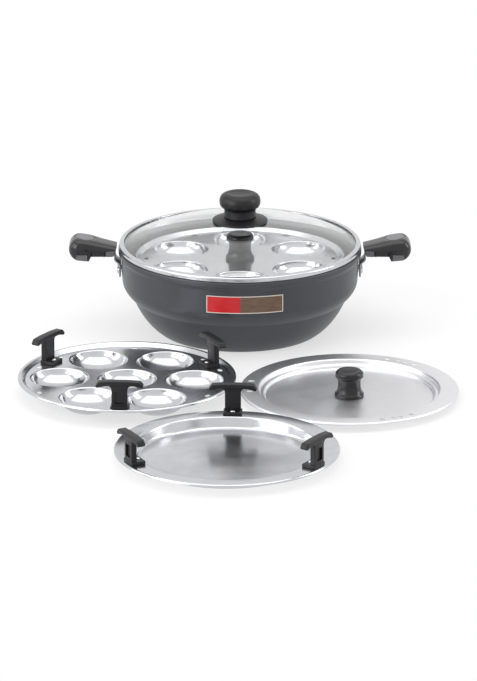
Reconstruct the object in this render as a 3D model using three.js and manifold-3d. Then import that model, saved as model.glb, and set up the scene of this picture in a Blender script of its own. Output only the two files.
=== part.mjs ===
// Multi kadai: a stepped, hard-anodised cooking pan with two stub handles and a domed glass lid, and a set
// of stacking steel plates for steaming. A lugged pan plate stands on the pan's inner ledge and carries a
// six-cup plate on its lugs. A seven-cup plate, a second pan plate and a slotted plate stand in front.
// Millimetres, +Z up. The origin is the centre of the pan's flat base, on the table. The handles lie along X.

import * as THREE from 'three';
import { mergeVertices } from 'three/addons/utils/BufferGeometryUtils.js';
import Module from 'manifold-3d';

const wasm = await Module();
wasm.setup();

// Clearances
const SEAT = 0.3; // between two faces that rest on each other
const PLAY = 0.3; // between a shank and its hole, on the radius
const TABLE_GAP = 4; // between neighbours that stand on the table

// Facets round a turned piece
const ROUND = 28; // pan, lid and plates
const CUP_ROUND = 14; // moulded cups
const KNOB_ROUND = 16; // knobs and discs
const PIN_ROUND = 8; // rivets, screws and their holes

// Pan
const RIM_R = 136;
const PAN_HEIGHT = 94.5;
const PAN_WALL = 3;
const BASE_R = 90;
const BELLY_OUT = 19; // bend of the lower wall, from the base's edge
const BELLY_RISE = 12;
const STEP_Z = 39.5; // crease between the lower wall and the shoulder
const SHOULDER_OUT = 12.3; // from the crease out to the upper wall
const SHOULDER_BEND = 5;
const SHOULDER_RISE = 18.5;
const WALL_LEAN = 1.2; // how far the upper wall opens from shoulder to lip
const LIP_FLARE = 2.8;
const LIP_HEIGHT = 10;
const LIP_BEND = 4;

// Handle brackets
const BRACKET_WIDTH = 22;
const BRACKET_T = 2;
const BRACKET_DROP = 32; // lower end, below the rim
const BRACKET_BEND_DROP = 17; // where the strip leaves the wall
const BRACKET_KNEE_DROP = 12; // where it rises again outside the lip
const BRACKET_CLEAR = 3.2; // between the lip and the strip
const TONGUE_RISE = 0.5; // top of the tongue, above the handle's level
const TONGUE_LENGTH = 25;
const TONGUE_RADIUS = 4.3;
const RIVET_DROP = 25;
const RIVET_SPACING = 11.4;
const RIVET_R = 2.4;
const RIVET_HEAD_R = 4.25;
const RIVET_HEAD_H = 2;

// Handles
const HANDLE_OFF = 4.5; // inner end, from the rim
const HANDLE_DROP = 4; // the handle's level, below the rim
const HANDLE_LENGTH = 51;
const HANDLE_NOSE = 11; // length of the rounded outer end
const HANDLE_HALF_IN = 14.5;
const HANDLE_HALF_OUT = 20;
const HANDLE_TOP_IN = 5.5; // heights from the handle's level
const HANDLE_TOP_OUT = 17;
const HANDLE_UNDER = -4.5;
const HANDLE_HOOK = -10;
const HOOK_RISE = 2.5; // of the hook's underside towards its end
const HOOK_START = 27; // from the handle's inner end
const HANDLE_SLANT = 0.4; // lean of the inner end
const RECESS_FLOOR = 12; // half width left between the side recesses
const RECESS_TOP = 3.5;
const RECESS_START = 9.5;
const RECESS_RIB_AT = 11.5;
const RECESS_RIB = 2;
const HOOK_PANEL_DEPTH = 1.2;
const HANDLE_SCREW_AT = 14;
const HANDLE_SCREW_R = 2;
const HANDLE_SCREW_HEAD_R = 3.8;
const HANDLE_SCREW_HEAD_H = 1.8;
const HANDLE_SCREW_GRIP = 7; // length inside the handle

// Lid
const RING_T = 0.8;
const RING_INSET = 0.8; // ring inside the pan's outer rim
const RING_CAP = 5.2; // width of the lip over the glass
const SKIRT_PLAY = 1.2;
const SKIRT_DROP = 4;
const GLASS_T = 3.5;
const GLASS_FLAT = 6.5; // width of the glass's flat edge
const DOME_RISE = 27;
const GLASS_HOLE_R = 4.5;

// Lid knob
const FLANGE_R = 30.8;
const FLANGE_EDGE = 2;
const FLANGE_BOSS = 3.2; // thickness at the middle
const NECK_R = 18;
const NECK_H = 11;
const HEAD_R = 23;
const HEAD_H = 16.4;
const HEAD_DISH = 1;
const INSERT_R = 4.6;
const INSERT_L = 14;
const LID_SCREW_R = 2.5;
const LID_SCREW_HEAD_R = 5.5;
const LID_SCREW_HEAD_H = 2.6;
const LID_SCREW_GRIP = 11; // length inside the insert
const LID_WASHER_R = 9;
const LID_WASHER_T = 1.2;
const GASKET_R = 10;
const GASKET_T = 1.5;

// Plates
const PLATE_T = 0.8;
const LEDGE_LAP = 1.27; // how far a plate reaches over the ledge's crease
const EDGE_DROP = 2.5; // turned-down edge
const EDGE_BEND = 1.6;
const PAN_PLATE_DEPTH = 12;
const FLANGE_WIDTH = 20;
const WELL_DRAFT = 3;
const SLOT_PLATE_DEPTH = 9;
const WELL_STEP = 4; // width and height of the slotted plate's inner step
const WELL_STEP_RISE = 4;
const EMBOSS_R = 9.5; // raised middle that hides the screw, covered by the knob
const EMBOSS_H = 5;
const EMBOSS_DRAFT = 2;
const SLOT_LONG = 7;
const SLOT_SHORT = 5;
const SLOT_WIDTH = 3;
const SLOT_SPACING = 8.5; // outer to inner slot of a group
const SLOT_PAIR = 7; // between the two inner slots
const SLOT_GROUP_ANGLES = [60, 180, 300];

// Cup plates
const CUP_R = 32;
const CUP_DEPTH = 15;
const CUP_FLAT_R = 10;
const CUP_BULGE = 3;
const SEVEN_CUP_PITCH = 73.5;
const SIX_CUP_PITCH = 77;
const CUP_RIM_WIDTH = 9.5; // raised rim of a cup plate
const CUP_RIM_RISE = 4;
const CUP_RIM_FLAT = 4;
const STEAM_HOLE_LONG = 8;
const STEAM_HOLE_WIDE = 5;
const STEAM_HOLE_IN = 14; // hole centres, from the plate's edge
const LUG_HOLE_ANGLE = 11; // the pair of holes beside a lug

// Lugs
const UPPER_DROP = 15.5; // underside of the upper plate, below the pan's rim
const LUG_BAR = 52;
const LUG_BAR_H = 7;
const LUG_BAR_DEPTH = 10;
const LUG_DROOP = 2.5;
const LUG_STEM = 17;
const LUG_STEM_DEPTH = 6;
const LUG_FILLET = 5;
const LUG_FOOT_H = 3.5;
const LUG_FOOT_WIDTH = 20;
const LUG_FOOT_REACH = 9.5; // foot inside the stem
const LUG_POCKET_WIDTH = 10.5;
const LUG_POCKET_DEPTH = 2.2;
const LUG_EDGE_SPACE = 1.5; // between the stem and the plate's raised or turned edge
const LUG_RIVET_R = 1.7;
const LUG_RIVET_HEAD_R = 3.1;
const LUG_RIVET_HEAD_H = 1.3;
const IDLI_LUG_ANGLES = [-90, 30, 150];
const DHOKLA_LUG_ANGLES = [90, 210, 330];
const LOWER_LUG_ANGLES = [0, 120, 240]; // between the cups of the plate above

// Spool knobs
const SPOOL_BASE_R = 16;
const SPOOL_WAIST_R = 12.2;
const SPOOL_TOP_R = 15.2;
const SPOOL_H = 29;
const SPOOL_SCREW_R = 2;
const SPOOL_SCREW_HEAD_R = 4;
const SPOOL_SCREW_HEAD_H = 1.6;
const SPOOL_SCREW_GRIP = 12;
const SPOOL_WASHER_R = 7;
const SPOOL_WASHER_T = 1;

// Place of the group on the table: moved to the right, and turned so that the front plate stands to the left
const TABLE_SHIFT = 11;
const TABLE_TURN = -3.2;

const point = (r, z) => new THREE.Vector2(r, z);
const radians = THREE.MathUtils.degToRad;

// Materials

function finish(color, roughness, metalness) {
  return new THREE.MeshStandardMaterial({ color, roughness, metalness });
}

const anodised = () => finish(0x3b3e42, 0.42, 0.7);
const bakelite = () => finish(0x1c1c1f, 0.35, 0);
const polishedSteel = () => finish(0xcfd1d3, 0.12, 1);
const stripSteel = () => finish(0x8f9194, 0.35, 1);
const brass = () => finish(0xb08d4a, 0.3, 1);
const silicone = () => finish(0x2c2c2e, 0.8, 0);

function clearGlass() {
  const material = finish(0xe4ecec, 0.05, 0);
  material.transparent = true;
  material.opacity = 0.3;
  return material;
}

// Solids

// A closed three.js geometry as a solid that can be cut and joined.
function solidOf(geometry) {
  const bare = new THREE.BufferGeometry();
  bare.setAttribute('position', geometry.getAttribute('position').clone());
  if (geometry.index) bare.setIndex(geometry.index.clone());
  const merged = mergeVertices(bare, 1e-4);
  const index = merged.index.array;
  const triVerts = [];
  for (let i = 0; i < index.length; i += 3) {
    const [a, b, c] = [index[i], index[i + 1], index[i + 2]];
    if (a !== b && b !== c && c !== a) triVerts.push(a, b, c);
  }
  const mesh = new wasm.Mesh({
    numProp: 3,
    vertProperties: merged.getAttribute('position').array,
    triVerts: new Uint32Array(triVerts),
  });
  return new wasm.Manifold(mesh);
}

function geometryOf(solid) {
  const { vertProperties, triVerts } = solid.getMesh();
  const geometry = new THREE.BufferGeometry();
  geometry.setAttribute('position', new THREE.BufferAttribute(vertProperties, 3));
  geometry.setIndex(new THREE.BufferAttribute(triVerts, 1));
  geometry.computeVertexNormals();
  return geometry;
}

// The body with every addition joined to it and every tool then cut from it.
function carve(body, { additions = [], tools = [] }) {
  const joined = additions.reduce((solid, addition) => solid.add(solidOf(addition)), solidOf(body));
  return geometryOf(tools.reduce((solid, tool) => solid.subtract(solidOf(tool)), joined));
}

// Lines and sections

function leftNormal(from, to) {
  return point(from.y - to.y, to.x - from.x).normalize();
}

// A line moved to its left by a distance, with mitred corners. A negative distance moves it to its right.
function offsetLine(line, distance) {
  const last = line.length - 1;
  return line.map((corner, i) => {
    const arriving = leftNormal(line[Math.max(i - 1, 0)], line[Math.max(i, 1)]);
    const leaving = leftNormal(line[Math.min(i, last - 1)], line[Math.min(i + 1, last)]);
    const mitre = arriving.clone().add(leaving).divideScalar(1 + arriving.dot(leaving));
    return corner.clone().addScaledVector(mitre, distance);
  });
}

// The section of a sheet: one face follows the line and the other lies a wall to its left.
function sheetSection(line, wall) {
  return [...line, ...offsetLine(line, wall).reverse()];
}

// Height of a line that runs outwards, at a radius.
function heightAt(line, radius) {
  const i = line.findIndex((corner, k) => k > 0 && corner.x >= radius);
  const [from, to] = [line[i - 1], line[i]];
  return from.y + ((to.y - from.y) * (radius - from.x)) / (to.x - from.x);
}

// A solid turned about +Z. A section that stays off the axis is closed on itself.
function revolve(section, segments) {
  const outline = THREE.ShapeUtils.area(section) < 0 ? [...section].reverse() : [...section];
  if (outline[0].x > 0) outline.push(outline[0].clone());
  return new THREE.LatheGeometry(outline, segments).rotateX(Math.PI / 2);
}

// A round bar on the Z axis, from one height to another.
function rod(radius, from, to, segments = PIN_ROUND) {
  return revolve([point(0, from), point(radius, from), point(radius, to), point(0, to)], segments);
}

// A ring with a square section.
function washer(holeRadius, radius, from, to, segments) {
  const section = [point(holeRadius, from), point(radius, from), point(radius, to), point(holeRadius, to)];
  return revolve(section, segments);
}

// A shape of (tangential, height) points pushed out along the radius, X.
function extrudeRadial(shape, from, to, curveSegments) {
  const geometry = new THREE.ExtrudeGeometry(shape, { depth: to - from, bevelEnabled: false, curveSegments });
  const [x, y, z] = [new THREE.Vector3(1, 0, 0), new THREE.Vector3(0, 1, 0), new THREE.Vector3(0, 0, 1)];
  return geometry.applyMatrix4(new THREE.Matrix4().makeBasis(y, z, x)).translate(from, 0, 0);
}

// A shape of (radial, height) points given a width across, along Y.
function extrudeAcross(shape, width, curveSegments) {
  const geometry = new THREE.ExtrudeGeometry(shape, { depth: width, bevelEnabled: false, curveSegments });
  return geometry.rotateX(Math.PI / 2).translate(0, width / 2, 0);
}

// A flat slot with round ends, along X, for cutting through a sheet at height zero.
function slotTool(length, width) {
  const reach = (length - width) / 2;
  const shape = new THREE.Shape();
  shape.absarc(reach, 0, width / 2, -Math.PI / 2, Math.PI / 2);
  shape.absarc(-reach, 0, width / 2, Math.PI / 2, (3 * Math.PI) / 2);
  const height = 4 * PLATE_T;
  const options = { depth: height, bevelEnabled: false, curveSegments: 1 };
  return new THREE.ExtrudeGeometry(shape, options).translate(0, 0, -height / 2);
}

function boxTool(low, high) {
  const size = high.clone().sub(low);
  const centre = low.clone().add(high).multiplyScalar(0.5);
  return new THREE.BoxGeometry(size.x, size.y, size.z).translate(centre.x, centre.y, centre.z);
}

// A skin over sections that stand across the X axis, closed at both ends.
function loft(sections) {
  const count = sections[0].length;
  const vertices = sections.flat();
  const index = [];
  for (let i = 0; i + 1 < sections.length; i += 1) {
    for (let k = 0; k < count; k += 1) {
      const a = i * count + k;
      const b = i * count + ((k + 1) % count);
      index.push(a, b, a + count, a + count, b, b + count);
    }
  }
  for (const [i, turn] of [[0, -1], [sections.length - 1, 1]]) {
    const centre = new THREE.Vector3();
    sections[i].forEach((corner) => centre.addScaledVector(corner, 1 / count));
    const hub = vertices.push(centre) - 1;
    for (let k = 0; k < count; k += 1) {
      const [a, b] = [i * count + k, i * count + ((k + 1) % count)];
      index.push(hub, turn > 0 ? a : b, turn > 0 ? b : a);
    }
  }
  return new THREE.BufferGeometry().setFromPoints(vertices).setIndex(index);
}

function named(name, geometry, material) {
  const mesh = new THREE.Mesh(geometry, material);
  mesh.name = name;
  return mesh;
}

function groupOf(...children) {
  const group = new THREE.Group();
  group.add(...children);
  return group;
}

// Pan

const wallTopR = RIM_R - LIP_FLARE;
const wallFootR = wallTopR - WALL_LEAN;
const creaseR = wallFootR - SHOULDER_OUT;
const mouthR = RIM_R - PAN_WALL;

// The outer face, from the middle of the base to the crease, and on over the shoulder to the lip.
const lowerWall = new THREE.Path()
  .moveTo(0, 0)
  .lineTo(BASE_R, 0)
  .quadraticCurveTo(BASE_R + BELLY_OUT, BELLY_RISE, creaseR, STEP_Z)
  .getPoints(4);
const upperWall = new THREE.Path()
  .moveTo(creaseR, STEP_Z)
  .quadraticCurveTo(wallFootR, STEP_Z + SHOULDER_BEND, wallFootR, STEP_Z + SHOULDER_RISE)
  .lineTo(wallTopR, PAN_HEIGHT - LIP_HEIGHT)
  .lineTo(RIM_R, PAN_HEIGHT - LIP_HEIGHT + LIP_BEND)
  .lineTo(RIM_R, PAN_HEIGHT)
  .getPoints(3);
const panLine = [...lowerWall, ...upperWall.slice(1)];
const panInside = offsetLine(panLine, PAN_WALL);
const ledgeCrease = panInside[lowerWall.length - 1];

const rivetZ = PAN_HEIGHT - RIVET_DROP;

function panGeometry() {
  const tools = [];
  for (const side of [0, Math.PI]) {
    for (const y of [-RIVET_SPACING / 2, RIVET_SPACING / 2]) {
      const hole = rod(RIVET_R + PLAY, mouthR / 2, RIM_R + BRACKET_T).rotateY(Math.PI / 2);
      tools.push(hole.translate(0, y, rivetZ).rotateZ(side));
    }
  }
  return carve(revolve(sheetSection(panLine, PAN_WALL), ROUND), { tools });
}

// Handle bracket: a strip on the wall that steps out round the lip and ends in a tongue

const bracketFaceR = wallTopR + SEAT;
const kneeR = RIM_R + BRACKET_CLEAR;
const handleLevel = PAN_HEIGHT - HANDLE_DROP;
const tongueZ = handleLevel + TONGUE_RISE;
const tongueEnd = kneeR + TONGUE_LENGTH;
const handleIn = RIM_R + HANDLE_OFF;
const handleScrewR = handleIn + HANDLE_SCREW_AT;

function bracketLine() {
  return new THREE.Path()
    .moveTo(bracketFaceR, PAN_HEIGHT - BRACKET_DROP)
    .lineTo(bracketFaceR, PAN_HEIGHT - BRACKET_BEND_DROP)
    .lineTo(kneeR, PAN_HEIGHT - BRACKET_KNEE_DROP)
    .lineTo(kneeR, tongueZ - TONGUE_RADIUS)
    .quadraticCurveTo(kneeR, tongueZ, kneeR + TONGUE_RADIUS, tongueZ)
    .lineTo(tongueEnd, tongueZ)
    .getPoints(3);
}

function bracketGeometry() {
  const strip = extrudeAcross(new THREE.Shape(sheetSection(bracketLine(), -BRACKET_T)), BRACKET_WIDTH);
  const tools = [-RIVET_SPACING / 2, RIVET_SPACING / 2].map((y) =>
    rod(RIVET_R + PLAY, mouthR / 2, kneeR).rotateY(Math.PI / 2).translate(0, y, rivetZ),
  );
  const screwHole = rod(HANDLE_SCREW_R + PLAY, tongueZ - 2 * BRACKET_T, tongueZ + BRACKET_T);
  tools.push(screwHole.translate(handleScrewR, 0, 0));
  return carve(strip, { tools });
}

// Bracket rivet, along X: a flat head inside the pan, a shank, and a domed head on the strip
function bracketRivetGeometry() {
  const reach = RIVET_SPACING / 2 + RIVET_HEAD_R;
  const insideR = (wallFootR - PAN_WALL) * Math.cos(Math.PI / ROUND);
  const inner = Math.sqrt(insideR ** 2 - reach ** 2) - SEAT;
  const outer = bracketFaceR + BRACKET_T + SEAT;
  const section = [
    point(0, inner - RIVET_HEAD_H / 2),
    point(RIVET_HEAD_R, inner),
    point(RIVET_R, inner),
    point(RIVET_R, outer),
    point(RIVET_HEAD_R, outer),
    point(RIVET_HEAD_R * 0.75, outer + RIVET_HEAD_H * 0.8),
    point(0, outer + RIVET_HEAD_H),
  ];
  return revolve(section, PIN_ROUND).rotateY(Math.PI / 2);
}

// Handle: a moulded stub that widens and rises outwards, with a hooked, rounded end

function handleSection(u) {
  const body = HANDLE_LENGTH - HANDLE_NOSE;
  const rise = THREE.MathUtils.smoothstep(u, -body / 3, body);
  const nose = u > body ? Math.sqrt(Math.max(1 - ((u - body) / HANDLE_NOSE) ** 2, 0.04)) : 1;
  const middle = THREE.MathUtils.lerp(0, HANDLE_TOP_OUT / 4, rise);
  const half = THREE.MathUtils.lerp(HANDLE_HALF_IN, HANDLE_HALF_OUT, rise) * (0.45 + 0.55 * nose);
  const top = middle + (THREE.MathUtils.lerp(HANDLE_TOP_IN, HANDLE_TOP_OUT, rise) - middle) * nose;
  const hook = HANDLE_HOOK + (HOOK_RISE * (u - HOOK_START)) / (HANDLE_LENGTH - HOOK_START);
  const bottom = middle + ((u > HOOK_START ? hook : HANDLE_UNDER) - middle) * nose;
  const slant = HANDLE_SLANT * Math.max(1 - u / HANDLE_SCREW_AT, 0);
  const corners = 14;
  return Array.from({ length: corners }, (_, k) => {
    const angle = (2 * Math.PI * k) / corners;
    const [c, s] = [Math.cos(angle), Math.sin(angle)];
    const y = half * Math.sign(c) * Math.abs(c) ** 0.5;
    const z = s > 0 ? middle + (top - middle) * s ** 0.7 : middle + (bottom - middle) * Math.abs(s) ** 0.35;
    return new THREE.Vector3(handleIn + u - slant * z, y, handleLevel + z);
  });
}

function handleGeometry() {
  const body = HANDLE_LENGTH - HANDLE_NOSE;
  const stations = [0, HANDLE_SCREW_AT / 2, HANDLE_SCREW_AT, HOOK_START, HOOK_START + 1.5, body];
  for (const share of [0.45, 0.75, 0.93, 1]) stations.push(body + HANDLE_NOSE * share);
  const slotLine = offsetLine(bracketLine(), SEAT);
  slotLine.at(-1).x += SEAT;
  const slot = new THREE.Shape(sheetSection(slotLine, -BRACKET_T - 2 * SEAT));
  const tools = [extrudeAcross(slot, BRACKET_WIDTH + 2 * SEAT)];
  const screwTop = tongueZ + HANDLE_SCREW_GRIP + SEAT;
  tools.push(rod(HANDLE_SCREW_R + PLAY, handleLevel, screwTop).translate(handleScrewR, 0, 0));
  const access = rod(HANDLE_SCREW_HEAD_R + PLAY, handleLevel + 2 * HANDLE_HOOK, tongueZ - BRACKET_T / 2);
  tools.push(access.translate(handleScrewR, 0, 0));
  for (const side of [-1, 1]) {
    const recesses = [
      [RECESS_START, RECESS_RIB_AT - RECESS_RIB / 2],
      [RECESS_RIB_AT + RECESS_RIB / 2, HOOK_START - RECESS_RIB / 2],
    ];
    for (const [from, to] of recesses) tools.push(sideRecess(side, from, to));
    tools.push(hookPanel(side));
  }
  return carve(loft(stations.map(handleSection)), { tools });
}

// A recess in the side of the handle, under the overhang of its top.
function sideRecess(side, from, to) {
  const floor = side * RECESS_FLOOR;
  const outside = side * 2 * HANDLE_HALF_OUT;
  const low = new THREE.Vector3(handleIn + from, Math.min(floor, outside), handleLevel + 2 * HANDLE_HOOK);
  const high = new THREE.Vector3(handleIn + to, Math.max(floor, outside), handleLevel + RECESS_TOP);
  return boxTool(low, high);
}

// A shallow panel in the side of the hooked end.
function hookPanel(side) {
  const floor = side * (HANDLE_HALF_OUT - HOOK_PANEL_DEPTH);
  const outside = side * 2 * HANDLE_HALF_OUT;
  const from = handleIn + HOOK_START + 4;
  const to = handleIn + HANDLE_LENGTH - HANDLE_NOSE + 2;
  const low = new THREE.Vector3(from, Math.min(floor, outside), handleLevel + HANDLE_HOOK + HOOK_RISE);
  const high = new THREE.Vector3(to, Math.max(floor, outside), handleLevel);
  return boxTool(low, high);
}

// Handle screw, up through the tongue into the handle
function handleScrewGeometry() {
  const under = tongueZ - BRACKET_T - SEAT;
  const section = [
    point(0, under - HANDLE_SCREW_HEAD_H),
    point(HANDLE_SCREW_HEAD_R, under - HANDLE_SCREW_HEAD_H),
    point(HANDLE_SCREW_HEAD_R, under),
    point(HANDLE_SCREW_R, under),
    point(HANDLE_SCREW_R, tongueZ + HANDLE_SCREW_GRIP),
    point(0, tongueZ + HANDLE_SCREW_GRIP),
  ];
  return revolve(section, PIN_ROUND).translate(handleScrewR, 0, 0);
}

// One handle with its bracket, drawn on +X and turned to its side of the pan.
function handleSet(side, turn) {
  const group = groupOf(
    named(`${side}_handle_bracket`, bracketGeometry(), stripSteel()),
    named(`${side}_handle`, handleGeometry(), bakelite()),
    named(`${side}_handle_screw`, handleScrewGeometry(), stripSteel()),
  );
  for (const [place, y] of [['a', -RIVET_SPACING / 2], ['b', RIVET_SPACING / 2]]) {
    const rivet = named(`${side}_bracket_rivet_${place}`, bracketRivetGeometry(), polishedSteel());
    rivet.position.set(0, y, rivetZ);
    group.add(rivet);
  }
  group.rotation.z = turn;
  return group;
}

// Lid

const ringBottom = PAN_HEIGHT + SEAT;
const glassFlatZ = ringBottom + RING_T + SEAT; // underside of the glass's flat edge
const ringTop = glassFlatZ + GLASS_T + SEAT + RING_T;
const ringR = RIM_R - RING_INSET;
const glassR = ringR - RING_T - SEAT;
const domeR = glassR - GLASS_FLAT;
const domeSphere = (domeR ** 2 + DOME_RISE ** 2) / (2 * DOME_RISE);
const domeCentre = glassFlatZ + DOME_RISE - domeSphere;

// Height of a sphere about the dome's centre, a distance outside the glass's underside.
const domeHeight = (radius, outside = 0) => domeCentre + Math.sqrt((domeSphere + outside) ** 2 - radius ** 2);

function glassGeometry() {
  const from = Math.acos(GLASS_HOLE_R / domeSphere);
  const to = Math.acos(domeR / domeSphere);
  const underside = new THREE.Path()
    .absarc(0, domeCentre, domeSphere, from, to, true)
    .lineTo(glassR, glassFlatZ)
    .getPoints(2);
  return revolve(sheetSection(underside, GLASS_T), ROUND);
}

// Ring: a strip folded over the glass's edge, in under it, and down inside the pan's mouth
function ringGeometry() {
  const skirtR = mouthR - SKIRT_PLAY;
  const bend = RING_T;
  const outside = new THREE.Path()
    .moveTo(ringR - RING_CAP, ringTop)
    .lineTo(ringR - bend, ringTop)
    .lineTo(ringR, ringTop - bend)
    .lineTo(ringR, ringBottom)
    .lineTo(skirtR, ringBottom)
    .lineTo(skirtR, ringBottom - SEAT - SKIRT_DROP)
    .getPoints(1);
  return revolve(sheetSection(outside, -RING_T), ROUND);
}

// Lid knob, from the glass up: flange disc, knob with its insert, and the screw with washer and gasket below

const flangeFootZ = domeHeight(0, GLASS_T + SEAT);
const flangeTopZ = flangeFootZ + FLANGE_BOSS;
const knobZ = flangeTopZ + SEAT;
const gasketTopZ = domeHeight(GASKET_R) - SEAT;
const gasketZ = gasketTopZ - GASKET_T;
const lidWasherTopZ = gasketZ - SEAT;
const lidWasherZ = lidWasherTopZ - LID_WASHER_T;

function flangeGeometry() {
  const hole = LID_SCREW_R + PLAY;
  const radii = [FLANGE_R, (2 * FLANGE_R) / 3, FLANGE_R / 3, hole];
  const underside = radii.map((radius) => point(radius, domeHeight(radius, GLASS_T + SEAT)));
  const edgeTop = underside[0].y + FLANGE_EDGE;
  const top = [point(hole, flangeTopZ), point(NECK_R + 1, flangeTopZ), point(FLANGE_R - 1, edgeTop)];
  return revolve([...underside, ...top, point(FLANGE_R, edgeTop - FLANGE_EDGE / 2)], KNOB_ROUND);
}

function knobGeometry() {
  const holeR = INSERT_R + PLAY;
  const holeTop = knobZ + INSERT_L + SEAT;
  const headZ = knobZ + NECK_H;
  const top = headZ + HEAD_H;
  const outside = new THREE.Path()
    .moveTo(NECK_R, knobZ)
    .lineTo(NECK_R, headZ)
    .quadraticCurveTo(HEAD_R, headZ + HEAD_H * 0.1, HEAD_R, headZ + HEAD_H * 0.45)
    .quadraticCurveTo(HEAD_R, top - HEAD_H * 0.08, HEAD_R * 0.62, top)
    .lineTo(0, top - HEAD_DISH)
    .getPoints(3);
  return revolve([point(0, holeTop), point(holeR, holeTop), point(holeR, knobZ), ...outside], KNOB_ROUND);
}

function lidScrewGeometry() {
  const under = lidWasherZ - SEAT;
  const end = knobZ + LID_SCREW_GRIP;
  const section = [
    point(0, under - LID_SCREW_HEAD_H),
    point(LID_SCREW_HEAD_R * 0.7, under - LID_SCREW_HEAD_H),
    point(LID_SCREW_HEAD_R, under),
    point(LID_SCREW_R, under),
    point(LID_SCREW_R, end),
    point(0, end),
  ];
  return revolve(section, PIN_ROUND);
}

function lidGroup() {
  const hole = LID_SCREW_R + PLAY;
  const insert = washer(hole, INSERT_R, knobZ + SEAT, knobZ + INSERT_L, PIN_ROUND);
  const washerRing = washer(hole, LID_WASHER_R, lidWasherZ, lidWasherTopZ, KNOB_ROUND);
  const gasket = washer(hole, GASKET_R, gasketZ, gasketTopZ, KNOB_ROUND);
  return groupOf(
    named('lid_glass', glassGeometry(), clearGlass()),
    named('lid_rim_ring', ringGeometry(), polishedSteel()),
    named('lid_knob', knobGeometry(), bakelite()),
    named('lid_knob_flange', flangeGeometry(), bakelite()),
    named('lid_knob_insert', insert, brass()),
    named('lid_knob_screw', lidScrewGeometry(), polishedSteel()),
    named('lid_knob_washer', washerRing, polishedSteel()),
    named('lid_knob_gasket', gasket, silicone()),
  );
}

// Plates. Each stands on its own height zero.

const plateR = ledgeCrease.x + LEDGE_LAP;
const edgeR = plateR - PLATE_T; // inside of the turned-down edge
const flangeInR = plateR - FLANGE_WIDTH;

// The underside of a flat flange with a turned-down edge, from a radius outwards, at a height.
function edgeLine(fromR, height) {
  return [
    point(fromR, height),
    point(edgeR - EDGE_BEND, height),
    point(edgeR, height - EDGE_BEND),
    point(edgeR, height + PLATE_T - EDGE_DROP),
  ];
}

function panPlateGeometry(lugAngles) {
  const wellR = flangeInR - WELL_DRAFT;
  const line = [point(0, 0), point(wellR, 0), ...edgeLine(flangeInR, PAN_PLATE_DEPTH)];
  const tools = lugHoles(lugAngles, panLugR, PAN_PLATE_DEPTH);
  return carve(revolve(sheetSection(line, PLATE_T), ROUND), { tools });
}

function slotPlateGeometry() {
  const stepR = flangeInR - WELL_DRAFT / 2;
  const floorR = stepR - WELL_STEP - WELL_DRAFT / 2;
  const line = [
    point(SPOOL_SCREW_R + PLAY, EMBOSS_H),
    point(EMBOSS_R, EMBOSS_H),
    point(EMBOSS_R + EMBOSS_DRAFT, 0),
    point(floorR, 0),
    point(stepR - WELL_STEP, WELL_STEP_RISE),
    point(stepR, WELL_STEP_RISE),
    ...edgeLine(flangeInR, SLOT_PLATE_DEPTH),
  ];
  const middleR = (flangeInR + plateR) / 2;
  const tools = [];
  for (const angle of SLOT_GROUP_ANGLES) {
    for (const side of [-1, 1]) {
      const long = slotTool(SLOT_LONG, SLOT_WIDTH);
      const short = slotTool(SLOT_SHORT, SLOT_WIDTH);
      tools.push(placedSlot(long, middleR, angle, side * (SLOT_PAIR / 2 + SLOT_SPACING), SLOT_PLATE_DEPTH));
      tools.push(placedSlot(short, middleR, angle, (side * SLOT_PAIR) / 2, SLOT_PLATE_DEPTH));
    }
  }
  return carve(revolve(sheetSection(line, PLATE_T), ROUND), { tools });
}

// A slot moved out to a radius, along the edge by an arc length, and up to a sheet at a height.
function placedSlot(tool, radius, angle, along, height) {
  return tool.translate(radius, 0, height + PLATE_T / 2).rotateZ(radians(angle) + along / radius);
}

// Cup plate: a web with a raised rim, and bowls that hang from the web
const webZ = CUP_DEPTH; // underside of the web
const webTop = webZ + PLATE_T;
const webR = plateR - CUP_RIM_WIDTH;

function cupPlateGeometry(centres, { centreHoleR, holes, lugAngles }) {
  const rimZ = webZ + CUP_RIM_RISE;
  const line = [point(centreHoleR, webZ), point(webR, webZ), ...edgeLine(plateR - CUP_RIM_FLAT, rimZ)];
  const inside = new THREE.Path()
    .moveTo(CUP_FLAT_R, PLATE_T)
    .quadraticCurveTo(CUP_R - CUP_BULGE, PLATE_T + CUP_BULGE, CUP_R, webTop)
    .getPoints(2);
  const outside = offsetLine(inside, -PLATE_T);
  outside[0] = point(CUP_FLAT_R, 0);
  const bowl = [point(0, 0), ...outside, point(0, outside.at(-1).y)];
  const hollow = [point(0, PLATE_T), ...inside, point(CUP_R + PLATE_T / 2, webTop + PLATE_T)];
  hollow.push(point(0, webTop + PLATE_T));
  const additions = centres.map(([x, y]) => revolve(bowl, CUP_ROUND).translate(x, y, 0));
  const tools = centres.map(([x, y]) => revolve(hollow, CUP_ROUND).translate(x, y, 0));
  for (const angle of holes) {
    const slot = slotTool(STEAM_HOLE_LONG, STEAM_HOLE_WIDE).rotateZ(Math.PI / 2);
    tools.push(placedSlot(slot, plateR - STEAM_HOLE_IN, angle, 0, webZ));
  }
  tools.push(...lugHoles(lugAngles, cupLugR, webZ));
  return carve(revolve(sheetSection(line, PLATE_T), ROUND), { additions, tools });
}

// Centres on a circle, a sixth of a turn apart.
function ringOfSix(pitch, start) {
  return Array.from({ length: 6 }, (_, i) => {
    const angle = radians(start + 60 * i);
    return [pitch * Math.cos(angle), pitch * Math.sin(angle)];
  });
}

// Lugs: T-shaped posts on the edge of a plate, which carry the plate above

const cupLugR = webR - LUG_EDGE_SPACE - LUG_STEM_DEPTH / 2;
const panLugR = plateR - EDGE_BEND - PLATE_T - LUG_EDGE_SPACE - LUG_STEM_DEPTH / 2;
const lugRivetIn = LUG_STEM_DEPTH / 2 + LUG_FOOT_REACH / 2;

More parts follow.
